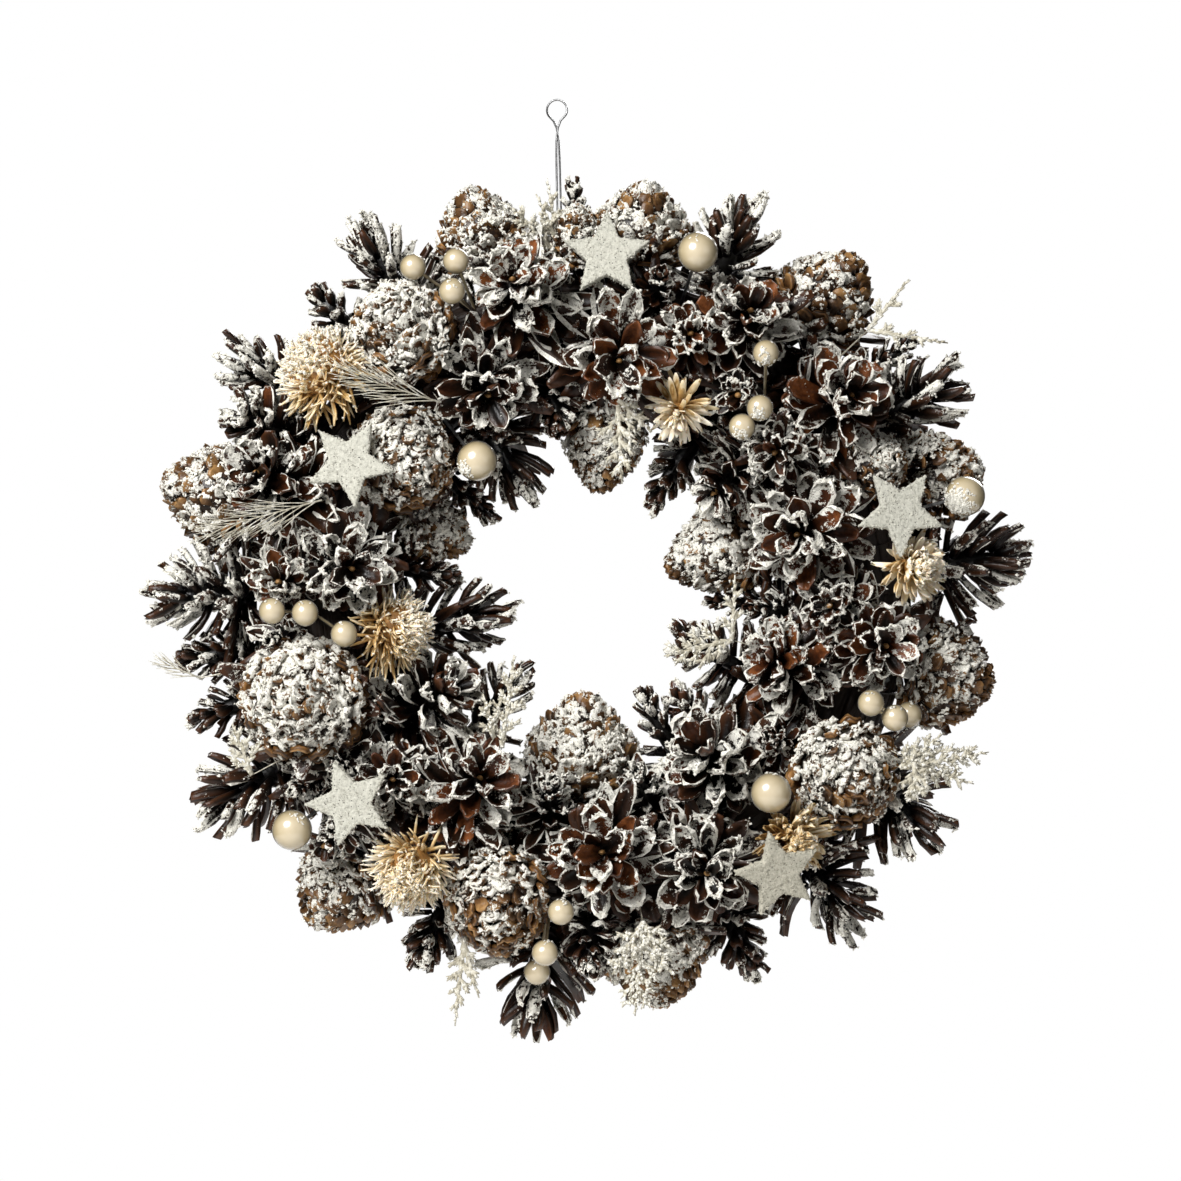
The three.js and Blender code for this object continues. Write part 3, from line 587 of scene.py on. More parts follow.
# Kind, pixel and radius in millimetres of each cone, then its snow and tone where they differ
bunches = {
    "cones_top": [("closed", 641, 229, 20), ("closed", 577, 232, 12), ("small", 574, 202, 11)],
    "cones_top_left": [("closed", 480, 231, 18.5), ("finger", 384, 265, 20)],
    "cones_eleven_inner": [
        ("open", 515, 290, 23, 0.6, 0.6), ("open", 485, 388, 21, 0.6, 0.3), ("finger", 505, 458, 20.5),
    ],
    "cones_twelve_face": [
        ("open", 620, 355, 24, 0.5, 0.6), ("open", 690, 335, 14, 0.3, 0.6), ("small", 556, 410, 14),
        ("small", 660, 282, 11, 0.25, 0.4), ("closed", 603, 452, 17, 0.85),
    ],
    "cones_one": [("open", 745, 320, 21, 0.6, 0.5), ("finger", 733, 248, 21)],
    "cone_one_outer": [("closed", 828, 297, 21, 0.62)],
    "cones_two": [
        ("open", 841, 403, 24, 0.42, 0.55), ("finger", 914, 402, 22, 0.55), ("small", 897, 352, 12, 0.8),
        ("open", 739, 394, 11, 0.3, 0.3),
    ],
    "cones_two_inner": [("open", 778, 450, 15), ("open", 726, 483, 17), ("small", 668, 480, 16)],
    "cones_three_inner": [
        ("closed", 709, 555, 19, 0.9), ("small", 725, 602, 10), ("open", 707, 652, 18.5),
        ("small", 765, 610, 11),
    ],
    "cones_ten": [("closed", 402, 330, 21, 0.97), ("small", 333, 311, 15)],
    "cones_ten_outer": [("finger", 263, 373, 19.5), ("open", 262, 425, 18, 0.6, 0.3)],
    "cones_nine_outer": [
        ("open", 346, 568, 22), ("open", 270, 478, 21, 0.55, 0.3), ("closed", 211, 493, 21, 0.7),
    ],
    "cones_ten_inner": [
        ("closed", 405, 460, 21, 0.85), ("small", 476, 502, 13, 0.35), ("closed", 438, 531, 15, 0.85),
    ],
    "cones_nine": [
        ("finger", 204, 596, 22, 0.75), ("small", 210, 656, 15), ("small", 276, 640, 9),
        ("small", 219, 711, 15), ("closed", 303, 700, 25, 0.93), ("open", 284, 582, 16, 0.4, 0.6),
    ],
    "cones_eight_inner": [
        ("finger", 459, 622, 22), ("small", 434, 574, 13, 0.4), ("open", 432, 700, 22),
        ("finger", 500, 700, 18, 0.6),
    ],
    "cones_eight": [
        ("finger", 250, 785, 23, 0.4, 0.3), ("small", 304, 786, 10), ("small", 338, 765, 9),
        ("open", 332, 838, 12), ("closed", 341, 888, 20, 0.75),
    ],
    "cones_seven": [("open", 392, 780, 15), ("open", 474, 788, 23, 0.38, 0.65)],
    "cones_six_inner": [("closed", 582, 747, 23, 0.95), ("small", 551, 796, 13)],
    "cones_seven_outer": [("closed", 500, 903, 22, 0.75), ("small", 432, 935, 17)],
    "cones_six": [
        ("open", 602, 855, 23, 0.45, 0.6), ("small", 590, 946, 16), ("finger", 537, 978, 22.5, 0.5, 0.3),
    ],
    "cones_five": [("open", 705, 868, 22, 0.5, 0.2), ("closed", 655, 958, 21, 0.9), ("small", 740, 942, 17)],
    "cones_five_inner": [
        ("open", 714, 764, 24, 0.6, 0.3), ("open", 690, 712, 14, 0.4, 0.6), ("small", 641, 785, 13, 0.7),
        ("small", 654, 715, 15, 0.7),
    ],
    "cones_four_outer": [
        ("finger", 827, 889, 22), ("finger", 897, 807, 22.5), ("closed", 846, 775, 22, 0.85),
        ("small", 774, 740, 10, 0.3, 0.4),
    ],
    "cones_four": [
        ("open", 782, 664, 20, 0.45, 0.65), ("open", 833, 606, 15), ("open", 880, 645, 20, 0.5, 0.6),
        ("closed", 944, 675, 21.5, 0.8),
    ],
    "cones_three": [
        ("open", 806, 532, 23, 0.62, 0.45), ("closed", 935, 481, 21, 0.75), ("closed", 880, 464, 13, 0.65),
        ("finger", 969, 560, 23),
    ],
}
# Pixel and radius of each flower head
flowerSpots = [
    (314, 364, 18), (678, 411, 15), (402, 627, 17), (410, 870, 19), (916, 566, 14.5), (795, 838, 15),
]
# Radii, reaches and pixels of the pearls, one with its own reach where it has a third number. Snow
# and dust are the clumps on a pearl, the side where they lie, and how widely they spread.
pearls = {
    "large": 8.2, "small": 5.4, "pin": 0.7, "foot": 1.2, "reach": 62, "pickReach": 60,
    "clump": (1.0, 3.4, 1.4),
    "single": [(698, 252), (477, 461), (292, 830), (771, 793), (965, 496)],
    "picks": [
        [(766, 353), (760, 408), (742, 427)],
        [(413, 267), (456, 261), (452, 291)],
        [(272, 611), (305, 613), (344, 634)],
        [(561, 912), (545, 953), (537, 972, 55)],
        [(871, 703), (895, 718), (909, 715, 50)],
    ],
    "snow": {
        "large_pearl_5": (260, (-0.5, -0.78, -0.36), 0.36),
        "large_pearl_2": (40, (-0.75, -0.55, -0.45), 0.22),
        "large_pearl_3": (8, (0.3, -0.7, 0.6), 0.3),
        "pearl_pick_1": (26, (-0.1, -0.8, -0.5), 0.3),
        "pearl_pick_4": (7, (0.1, -0.4, 0.9), 0.25),
    },
    "dust": (3, (-0.2, -0.5, 0.8), 0.3),
}
apart = 14  # neighbours further from each other than this need no plane between them


def centreLine(point):
    # The nearest point of the line that the straw is bound round
    flat = Vector((point.x, 0, point.z)).normalized() * ring["radius"]
    return Vector((flat.x, -ring["back"], flat.z))


def standingAt(pixel, reach):
    # In front of the ring at a pixel, reach away from its centre line, or further out on its rims
    steepest = math.radians(82)
    depth = reach
    for _ in range(8):
        point = seenAt(pixel, -ring["back"] - depth)
        off = abs(math.hypot(point.x, point.z) - ring["radius"])
        inside = off < reach * math.sin(steepest)
        depth = math.sqrt(reach ** 2 - off ** 2) if inside else off / math.tan(steepest)
    return seenAt(pixel, -ring["back"] - depth)


sites = []  # one for each cone, flower and pearl


def addSite(owner, kind, pixel, radius, reach, footRadius, hard=False, foot=None, snowed=0.5, tone=0.5):
    head = standingAt(pixel, reach)
    outward = (head - centreLine(head)).normalized()
    foot = foot or centreLine(head) + outward * (ring["straw"] + gap)
    site = SimpleNamespace(
        owner=owner, kind=kind, head=head, axis=outward, foot=foot, radius=radius, footRadius=footRadius,
        hard=hard, snowed=snowed, tone=tone, planes=[], turn=len(sites) * goldenAngle,
    )
    sites.append(site)
    return site


def parted(a, b):
    # A plane between two neighbours, through a point between their heads and one between their feet
    across = b.head - a.head
    distance = across.length
    across.normalize()
    fair = (distance ** 2 + a.radius ** 2 - b.radius ** 2) / (2 * distance)
    least = 0.4  # of its radius that each keeps
    split = min(max(fair, least * a.radius), distance - least * b.radius)
    low = a.foot.lerp(b.foot, a.footRadius / (a.footRadius + b.footRadius))
    for _ in range(3):
        high = a.head + across * split
        up = (high - low).normalized()
        normal = up.cross(across).normalized().cross(up).normalized()
        if normal.dot(across) < 0:
            normal.negate()
        slope = normal.dot(across)
        if a.hard:
            split = max(split, (a.radius + gap) / slope)
        if b.hard:
            split = min(split, distance - (b.radius + gap) / slope)
    a.planes.append((normal, high, b.hard))
    b.planes.append((-normal, high, a.hard))


for owner, cones in bunches.items():
    for kind, px, py, radius, *look in cones:
        grown = growth[kind]
        snowed, tone = (look + [grown["snow"], grown["tone"]][len(look):])[:2]
        addSite(owner, kind, (px, py), radius, grown["reach"], grown["foot"], snowed=snowed, tone=tone)
for i, (px, py, radius) in enumerate(flowerSpots):
    grown = growth["flower"]
    addSite(f"dried_flower_{i + 1}", "flower", (px, py), radius, grown["reach"], grown["foot"])
footRadius = pearls["foot"]
for i, pixel in enumerate(pearls["single"]):
    addSite(f"large_pearl_{i + 1}", "pearl", pixel, pearls["large"], pearls["reach"], footRadius, hard=True)
for i, (first, middle, last) in enumerate(pearls["picks"]):
    owner, small = f"pearl_pick_{i + 1}", pearls["small"]
    shared = addSite(owner, "pearl", middle, small, pearls["pickReach"], footRadius, hard=True)
    for pixel in (first, last):
        reach = pixel[2] if len(pixel) > 2 else pearls["pickReach"]
        addSite(owner, "pearl", pixel, small, reach, footRadius, hard=True, foot=shared.foot)
for i, a in enumerate(sites):
    for b in sites[i + 1:]:
        near = (b.head - a.head).length < a.radius + b.radius + apart
        if near and not (a.kind == "pearl" and a.owner == b.owner):
            parted(a, b)


def allowed(site, point, slack=interleave):
    # Whether a point keeps clear of the wall, the straw, the wire and the neighbours
    if point.y > -gap or (point - centreLine(point)).length < ring["straw"] + gap:
        return False
    share = min(1, max(0, (point - wireFoot).dot(wireEye - wireFoot) / (wireEye - wireFoot).length_squared))
    if (wireFoot.lerp(wireEye, share) - point).length < wire["room"]:
        return False
    return all(normal.dot(point - high) <= (0 if hard else slack) for normal, high, hard in site.planes)


def fit(site, points, slack=interleave):
    # Largest share, up to 1, at which every point that points(share) gives has room
    if all(allowed(site, p, slack) for p in points(1)):
        return 1
    low, high = 0.3, 1
    for _ in range(6):
        middle = (low + high) / 2
        if all(allowed(site, p, slack) for p in points(middle)):
            low = middle
        else:
            high = middle
    return low


# How the blades of each kind go, from the neck (t 0) to the top (t 1): sizes are shares of the
# radius, lift and stray are in degrees, and rope, grains, clumps and coat are their snow
habit = {
    "open": {
        "masters": spoons, "count": 32, "from": 0.06, "to": 0.95, "depth": 0.3, "twist": 0.25, "stray": 9,
        "core": lambda t: 0.3 - 0.22 * t, "length": lambda t: 1.1 - 0.5 * t,
        "lift": lambda t: -12 + 66 * t, "width": lambda t: 0.47 - 0.16 * t,
        "rope": 1.0, "grain": (0.6, 2.0), "grains": 12, "clumps": 2.4, "coat": 0.8,
    },
    "finger": {
        "masters": fingers, "count": 36, "from": 0.06, "to": 0.96, "depth": 0.24, "twist": 0.3, "stray": 19,
        "core": lambda t: 0.33 - 0.21 * t, "length": lambda t: 1.14 - 0.5 * t,
        "lift": lambda t: -14 + 84 * t, "width": lambda t: 0.25 - 0.06 * t,
        "rope": 0.75, "grain": (0.7, 2.2), "grains": 12, "clumps": 5.2, "coat": 0.85,
    },
    "closed": {
        "masters": shields, "count": 104, "from": 0.03, "to": 0.99, "depth": 0.2, "twist": 0.14, "stray": 7,
        "core": lambda t: 0.94 * math.sin(math.pi * min(0.98, 0.15 + 0.83 * t)) ** 0.7,
        "length": lambda t: 0.42 - 0.18 * t, "width": lambda t: 0.44 - 0.16 * t,
        "rope": 0, "grain": (0.7, 1.8), "grains": 2, "clumps": 0.4, "coat": 1.0,
    },
    "small": {
        "masters": spoons, "count": 29, "from": 0.05, "to": 0.98, "depth": 0.26, "twist": 0.2, "stray": 10,
        "core": lambda t: 0.42 - 0.28 * t, "length": lambda t: 0.88 - 0.44 * t,
        "lift": lambda t: 5 + 72 * t, "width": lambda t: 0.42 - 0.16 * t,
        "rope": 0.9, "grain": (0.6, 1.6), "grains": 10, "clumps": 1.6, "coat": 0.8,
    },
}
# Under scales get a low tone as painted shade, since they lie in the hollows between the cones
under = {
    "count": 14, "least": 15, "length": (1.1, 1.7), "width": 0.36, "depth": 0.25, "lift": (-14, 30),
    "root": (2, 10), "slack": 11, "tone": -0.4, "shade": (-0.2, 0.35),
}
# Husks lie low between the cones, so their tones run darker than the cones' as painted shade
husks = {
    "count": 530, "length": (8, 15), "width": (5, 8), "depth": 5, "lean": (40, 80), "around": 112,
    "tone": (-0.3, 0.4), "grain": (1, 2),
}
crust = {"clumps": 330, "size": (2.5, 5.6), "bare": 0.3, "dense": 2.2, "out": 1.13}
# Snow was sprayed from the front and a little above, and lies in drifts and ripples
spray = {
    "way": Vector((-0.2, -0.85, 0.48)), "even": 0.45, "aimed": 0.6, "thick": 1.3, "drift": 8.0,
    "ripple": 3.1, "uneven": (1.2, 0.4), "chance": 0.15,
}
# Clumps on single scales lie where the cover is thicker than bare
flock = {"bare": 0.35, "size": (1.8, 3.6), "fullSize": 22}
# A cone's neck over its foot, its core, stem and knob in millimetres, and how its scales vary
build = {
    "neck": 4, "middle": 0.47, "core": {"closed": 0.97, "open": 0.8, "finger": 0.8, "small": 0.8},
    "stem": 2.6, "knob": {"broad": 1.5, "high": 2.6, "deep": 1.2}, "lift": (4, 22), "length": (0.8, 1.1),
    "width": (0.78, 1.2), "tone": 0.35,
}


def snowFall(direction):
    return min(1, max(0, spray["even"] + spray["aimed"] * direction.dot(spray["way"])))


def lifted(flat, tall, lift):
    # A direction raised from flat towards tall by an angle, and the one square to it
    return flat * math.cos(lift) + tall * math.sin(lift), tall * math.cos(lift) - flat * math.sin(lift)


def sideways(site):
    # Where a cone's or a flower's first scale points, square to its axis
    right = front.cross(site.axis)
    if right.length < 0.1:
        right = Vector((1, 0, 0))
    right.normalize()
    return Matrix.Rotation(site.turn, 3, site.axis) @ right


# Points for grains, on a scale's rim, and for clumps, on the outer half of the face that shows
for master in spoons + chips + fingers + shields:
    along = master.points[:, 1]
    shown = master.finish[:, 2] < 0 if master in shields else master.finish[:, 2] > 0
    rim = master.finish[:, 0]
    master.spots = np.flatnonzero((rim > 0.5 * rim.max()) & (along > 0.45))
    master.face = np.flatnonzero(shown & (along > 0.5))


def coverOf(site, point, direction):
    # Share of snow at a point that faces a direction: in drifts, thickest where the spray fell
    broad, fine = spray["uneven"]
    drift = noise.noise(point / spray["drift"]) + fine * noise.noise(point / spray["ripple"])
    share = spray["thick"] * site.snowed * snowFall(direction) + broad * drift
    share += random.uniform(-spray["chance"], spray["chance"])
    share = min(1, max(0, share))
    return share * share * (3 - 2 * share)


def snowOn(bm, points, site, blade, direction, cover):
    # A ragged rope on the rim, grains along it, and clumps where the snow lies thick
    style = habit[site.kind]
    master, matrix = blade
    if master.rims and random.random() < style["rope"] * min(1, 0.4 + 1.6 * cover):
        stamp(bm, random.choice(master.rims), matrix)
    for _ in range(int(style["grains"] * cover + random.random())):
        size = random.triangular(*style["grain"], style["grain"][0])
        size *= 0.6 + 0.4 * site.radius / flock["fullSize"]
        dropSnow(bm, Vector(points[random.choice(master.spots)]) + direction * size * 0.2, size)
    for _ in range(int(style["clumps"] * max(0, cover - flock["bare"]) + random.random() * 0.8)):
        dropClump(bm, Vector(points[random.choice(master.face)]), direction, random.uniform(*flock["size"]))


def growBlade(bm, site, master, root, along, up, size, tone, cover, slack=interleave):
    # One scale, shortened until it keeps clear of its neighbours
    length, width, depth = size
    across = along.cross(up) * width * 0.4
    share = fit(site, lambda part: [root + along * length * part + across * k for k in (-1, 0, 1)], slack)
    matrix = placed(root, along, up, length * share, width * (0.5 + 0.5 * share), depth)
    return stamp(bm, master, matrix, tone, cover * habit[site.kind]["coat"]), (master, matrix)


def growUnder(bm, site):
    # Long scales round the foot, dark as painted shade, which fill the space between a cone and its
    # neighbours
    right = sideways(site)
    for i in range(under["count"]):
        spoke = Matrix.Rotation(i * goldenAngle, 3, site.axis) @ right
        along, up = lifted(spoke, site.axis, math.radians(random.uniform(*under["lift"])))
        root = site.foot + site.axis * random.uniform(*under["root"])
        r = max(site.radius, under["least"])
        size = (r * random.uniform(*under["length"]), r * under["width"], r * under["depth"])
        # The low tone is painted shade, with some tone that differs at random
        tone = under["tone"] + random.uniform(*under["shade"])
        cover = 0.5 * coverOf(site, root + along * r, along)
        master = random.choice(chips + fingers)
        points, blade = growBlade(bm, site, master, root, along, up, size, tone, cover, under["slack"])
        snowOn(bm, points, site, blade, along, cover * 0.9)


def strawSkin(angle, height):
    # Radius from the ring's centre and depth at an angle round the straw, flat on the back
    out = ring["radius"] + height * math.sin(angle)
    deep = -ring["back"] + height * math.cos(angle)
    return out, min(deep, height - ring["straw"])


def onRing(turn, angle, height):
    # The same point, at a turn round the wreath
    out, deep = strawSkin(angle, height)
    return Vector((out * math.sin(turn), deep, out * math.cos(turn)))


def looseHusks():
    # Scales glued on the straw between the cones, each given to the nearest cone's bunch
    given = {owner: [] for owner in bunches}
    cones = [site for site in sites if site.owner in bunches]
    for _ in range(husks["count"]):
        turn = random.uniform(0, 2 * math.pi)
        angle = math.pi + math.radians(husks["around"]) * random.uniform(-1, 1)
        root = onRing(turn, angle, ring["straw"] + 2 * gap)
        away = (root - centreLine(root)).normalized()
        lean = math.radians(random.uniform(*husks["lean"]))
        aside = away.orthogonal().normalized()
        aside = Matrix.Rotation(random.uniform(0, 2 * math.pi), 3, away) @ aside
        along, down = lifted(away, aside, lean)
        site = min(cones, key=lambda one: (one.foot - root).length)
        given[site.owner].append((site, root, along, -down))
    return given


def growHusk(bm, site, root, along, up):
    length = random.uniform(*husks["length"])
    tip = root + along * length
    if tip.y > -gap or (tip - wireFoot).length < wire["free"]:
        return
    matrix = placed(root, along, up, length, random.uniform(*husks["width"]), husks["depth"])
    cover = 0.5 * coverOf(site, tip, along)
    master = random.choice(chips + fingers)
    points = stamp(bm, master, matrix, random.uniform(*husks["tone"]), cover)
    if random.random() < 1.2 * cover:
        stamp(bm, random.choice(master.rims), matrix)
        dropSnow(bm, Vector(points[random.choice(master.spots)]), random.uniform(*husks["grain"]))


def snowCrust(bm, site, skin):
    # Clumps that run together in drifts over a closed cone
    for _ in range(int(crust["clumps"] * (site.radius / flock["fullSize"]) ** 2)):
        point, normal = skin(random.uniform(0.1, 1) ** 0.8, random.uniform(0, 2 * math.pi))
        size = random.triangular(*crust["size"], crust["size"][0])
        chance = random.random()
        dense = crust["dense"] * (coverOf(site, point, normal) - crust["bare"])
        if chance < dense and allowed(site, point + normal * size * 0.4):
            dropClump(bm, point, normal, size)


def growCone(bm, site):
    # A core on a stem, scales in a spiral round it, and snow on what has grown
    style = habit[site.kind]
    r = site.radius
    neck = build["neck"] - (site.head - site.foot).length
    top = growth[site.kind]["top"] * r
    right = sideways(site)

    def skin(t, angle):
        # Beside a point on the axis: the way out, the way up along the body, and the body's normal
        spoke = Matrix.Rotation(angle, 3, site.axis) @ right
        swell = (style["core"](min(1, t + 0.01)) - style["core"](t - 0.01)) * r / 0.02
        tangent = (spoke * swell + site.axis * (top - neck)).normalized()
        normal = (spoke * (top - neck) - site.axis * swell).normalized()
        middle = site.head + site.axis * (neck + (top - neck) * t)
        return middle, spoke, tangent, normal

    def crustSkin(t, angle):
        middle, spoke, tangent, normal = skin(t, angle)
        out = style["core"](t) * r * crust["out"]
        return middle + spoke * out * fit(site, lambda part: [middle + spoke * out * part]), normal

    middle = site.head + site.axis * (neck + (top - neck) * build["middle"])
    girth = r * style["core"](0.4) * build["core"][site.kind]
    sides = [skin(0.5, angle)[1] * girth for angle in (0, 1.57, 3.14, 4.71)]
    girth *= fit(site, lambda share: [middle + side * share for side in sides])
    master = tanCore if site.kind == "closed" else core
    stamp(bm, master, upright(middle, site.axis, girth, (top - neck) * 0.5), 0.1, site.snowed)
    length = (middle - site.foot).length * 0.5
    stamp(bm, core, upright(site.foot.lerp(middle, 0.35), site.axis, build["stem"], length), 0.1, 0)
    if site.kind == "open":
        knob = upright(site.head + site.axis * top * 0.75, site.axis, **build["knob"])
        stamp(bm, tanCore, knob, 0.9, 0.3)
    for i in range(style["count"]):
        t = style["from"] + (style["to"] - style["from"]) * (i + 0.5) / style["count"]
        twist = random.uniform(-style["twist"], style["twist"])
        middle, spoke, tangent, normal = skin(t, i * goldenAngle + twist)
        if site.kind == "closed":
            lift = math.radians(random.uniform(*build["lift"]))
            along, out = lifted(tangent, normal, lift)
            up = -out  # the hollow face of a shield lies on the cone
            faces = (normal * 0.8 + along * 0.3).normalized()
        else:
            lift = math.radians(style["lift"](t) + random.gauss(0, style["stray"] * 0.7))
            along, up = lifted(spoke, site.axis, lift)
            faces = (along * 0.5 + up * 0.6).normalized()
        up = Matrix.Rotation(math.radians(random.gauss(0, style["stray"])), 3, along) @ up
        rooted = r * style["core"](t)
        rooted *= fit(site, lambda share: [middle + spoke * rooted * share])
        length = style["length"](t) * r * random.uniform(*build["length"])
        size = (length, style["width"](t) * r * random.uniform(*build["width"]), style["depth"] * r)
        tone = site.tone + random.uniform(-build["tone"], build["tone"])
        root = middle + spoke * rooted * 0.85
        cover = coverOf(site, root + along * length * 0.8, faces)
        master = random.choice(style["masters"])
        points, blade = growBlade(bm, site, master, root, along, up, size, tone, cover)
        snowOn(bm, points, site, blade, faces, cover)
    growUnder(bm, site)
    if site.kind == "closed":
        snowCrust(bm, site, crustSkin)


loose = looseHusks()
for owner in bunches:
    bm = bmesh.new()
    for site in sites:
        if site.owner == owner:
            growCone(bm, site)
    for given in loose[owner]:
        growHusk(bm, *given)
    finished(owner, bm, [darkScale, tanScale, snow])
print("cones grown")


# Dried flower heads: golden at the root and darker there with painted shade, cream at the tip. Widths are
# in millimetres, lengths and the core are shares of the radius, curl is how far a petal's tip bends up,
# in millimetres, golden is the side (x, z) that has kept its colour, trail is how much longer the petals
# are there, sweep is the way (x, z) that they lean, and dust is the share of tips with a grain of snow.
blooms = [
    {"petals": needles, "count": 680, "width": 1.2, "length": (0.5, 0.32), "core": 0.64, "stray": 34,
     "curl": 5, "tone": 1.25, "golden": (0.5, -0.75), "trail": 0.9, "sweep": (0.1, -0.1), "dust": 2.3},
    {"petals": ribbons, "count": 92, "width": 2.6, "length": (1.0, 0.55), "core": 0.12, "stray": 13,
     "curl": 1.5, "tone": 1.2, "golden": (0.3, 0.5), "trail": 0, "sweep": (0, 0), "dust": 0.03},
    {"petals": needles, "count": 520, "width": 1.0, "length": (0.62, 0.4), "core": 0.5, "stray": 32,
     "curl": 5, "tone": 1.2, "golden": (-0.8, -0.4), "trail": 0.5, "sweep": (0, -0.2), "dust": 1.2},
    {"petals": needles, "count": 540, "width": 1.15, "length": (0.6, 0.52), "core": 0.44, "stray": 26,
     "curl": 7, "tone": 1.1, "golden": (0.3, 0.7), "trail": -0.15, "sweep": (-0.2, -0.5), "dust": 0.8},
    {"petals": ribbons, "count": 150, "width": 3.2, "length": (0.78, 0.42), "core": 0.32, "stray": 16,
     "curl": 4, "tone": 1.35, "golden": (-0.4, -0.3), "trail": 0, "sweep": (0, -0.2), "dust": 0.6},
    {"petals": ribbons, "count": 170, "width": 2.6, "length": (0.82, 0.42), "core": 0.28, "stray": 17,
     "curl": 6, "tone": 0.7, "golden": (-0.6, -0.2), "trail": 0, "sweep": (0, 0), "dust": 0.2},
]


# What all heads share: where petals begin and end along the axis, in shares of the radius, the first
# petals' lift and what the last have more, in degrees, and how lengths, widths and tones vary
petalling = {
    "from": -0.45, "to": 0.35, "lift": (-25, 112), "length": (0.7, 1.12), "width": (0.7, 1.2), "tone": 0.3,
    "grain": (0.7, 1.6), "stalk": 1.3,
}


def growFlower(bm, site, bloom):
    # A core on a stalk, and petals in a spiral from the rim, where t is 0, to the middle
    r = site.radius
    right = sideways(site)
    low, high = petalling["from"] * r, petalling["to"] * r
    lowest, rising = petalling["lift"]
    middle = site.head + site.axis * (low + high) / 2
    stamp(bm, core, upright(middle, site.axis, (bloom["core"] + 0.08) * r, (high - low) * 0.55), 0.5, 0)
    reach = (middle - site.foot).length
    stalk = upright(site.foot.lerp(middle, 0.5), site.axis, petalling["stalk"], reach * 0.52)
    stamp(bm, core, stalk, 0.4, 0)
    for i in range(bloom["count"]):
        t = (i + 0.5) / bloom["count"]
        spoke = Matrix.Rotation(i * goldenAngle, 3, site.axis) @ right
        along, up = lifted(spoke, site.axis, math.radians(lowest + rising * t))
        stray = Vector([random.gauss(0, math.radians(bloom["stray"])) for _ in range(3)])
        along = (along + stray + Vector((bloom["sweep"][0], 0, bloom["sweep"][1]))).normalized()
        up += stray * 0.5
        up = (up - along * up.dot(along)).normalized()
        first, last = bloom["length"]
        side = bloom["golden"][0] * along.x + bloom["golden"][1] * along.z
        length = r * (first + (last - first) * t) * random.uniform(*petalling["length"])
        length *= 1 + bloom["trail"] * max(0, side)
        root = site.head + site.axis * (low + (high - low) * t) + spoke * bloom["core"] * r * (1 - 0.75 * t)
        share = fit(site, lambda part: [root + along * length * part])
        width = bloom["width"] * random.uniform(*petalling["width"])
        matrix = placed(root, along, up, length * share, width, 2 * bloom["curl"])
        tone = bloom["tone"] - max(0, side) + random.uniform(-petalling["tone"], petalling["tone"])
        points = stamp(bm, random.choice(bloom["petals"]), matrix, tone, 0)
        for _ in range(int(bloom["dust"] * min(1, max(0.1, 1 - 1.6 * side)) + random.random())):
            tip = Vector(points[-1]) - along * random.uniform(0, 2)
            dropSnow(bm, tip, random.uniform(*petalling["grain"]))


for site, bloom in zip([s for s in sites if s.kind == "flower"], blooms):
    bm = bmesh.new()
    growFlower(bm, site, bloom)
    finished(site.owner, bm, [petal, petal, snow])
print("flowers grown")


# Pearls on their pins
def bead(bm, site, dusted):
    made = bmesh.ops.create_icosphere(bm, subdivisions=4, radius=site.radius)
    bmesh.ops.translate(bm, verts=made["verts"], vec=site.head)
    length = (site.head - site.foot).length
    pin = bmesh.ops.create_cone(bm, segments=10, radius1=pearls["pin"], radius2=pearls["pin"], depth=length)
    away = (site.head - site.foot).normalized()
    bmesh.ops.transform(bm, verts=pin["verts"], matrix=upright((site.head + site.foot) / 2, away, 1, 1))
    smoothed(bm)
    for face in {face for v in pin["verts"] for face in v.link_faces}:
        face.material_index = 1
    count, side, spread = dusted
    for _ in range(count):
        way = (Vector(side) + Vector([random.gauss(0, spread) for _ in range(3)])).normalized()
        dropClump(bm, site.head + way * site.radius, way, random.triangular(*pearls["clump"]))


for owner in dict.fromkeys(s.owner for s in sites if s.kind == "pearl"):
    bm = bmesh.new()
    for site in [s for s in sites if s.owner == owner]:
        bead(bm, site, pearls["snow"].get(owner, pearls["dust"]))
    stalk = steel if owner.startswith("large") else pearl
    finished(owner, bm, [pearl, stalk, snow])
print("pearls set")


# Stars: cut from flocked board, each where its solid lies. Each lies at its turn, and faces its
# lean to the right and up, all in degrees. Rough are those with the darker coat.
starCut = {
    "radius": 18.5, "waist": 8.6, "thick": 4, "round": 0.7, "mesh": 2.2, "dent": 0.35, "grains": 360,
    "grain": (0.5, 1.8, 0.6),
    "lies": [(0, (0, 10)), (-28, (-4, 4)), (-52, (-4, -6)), (16, (14, -16)), (-36, (12, 4))],
    "rough": (3,),
}


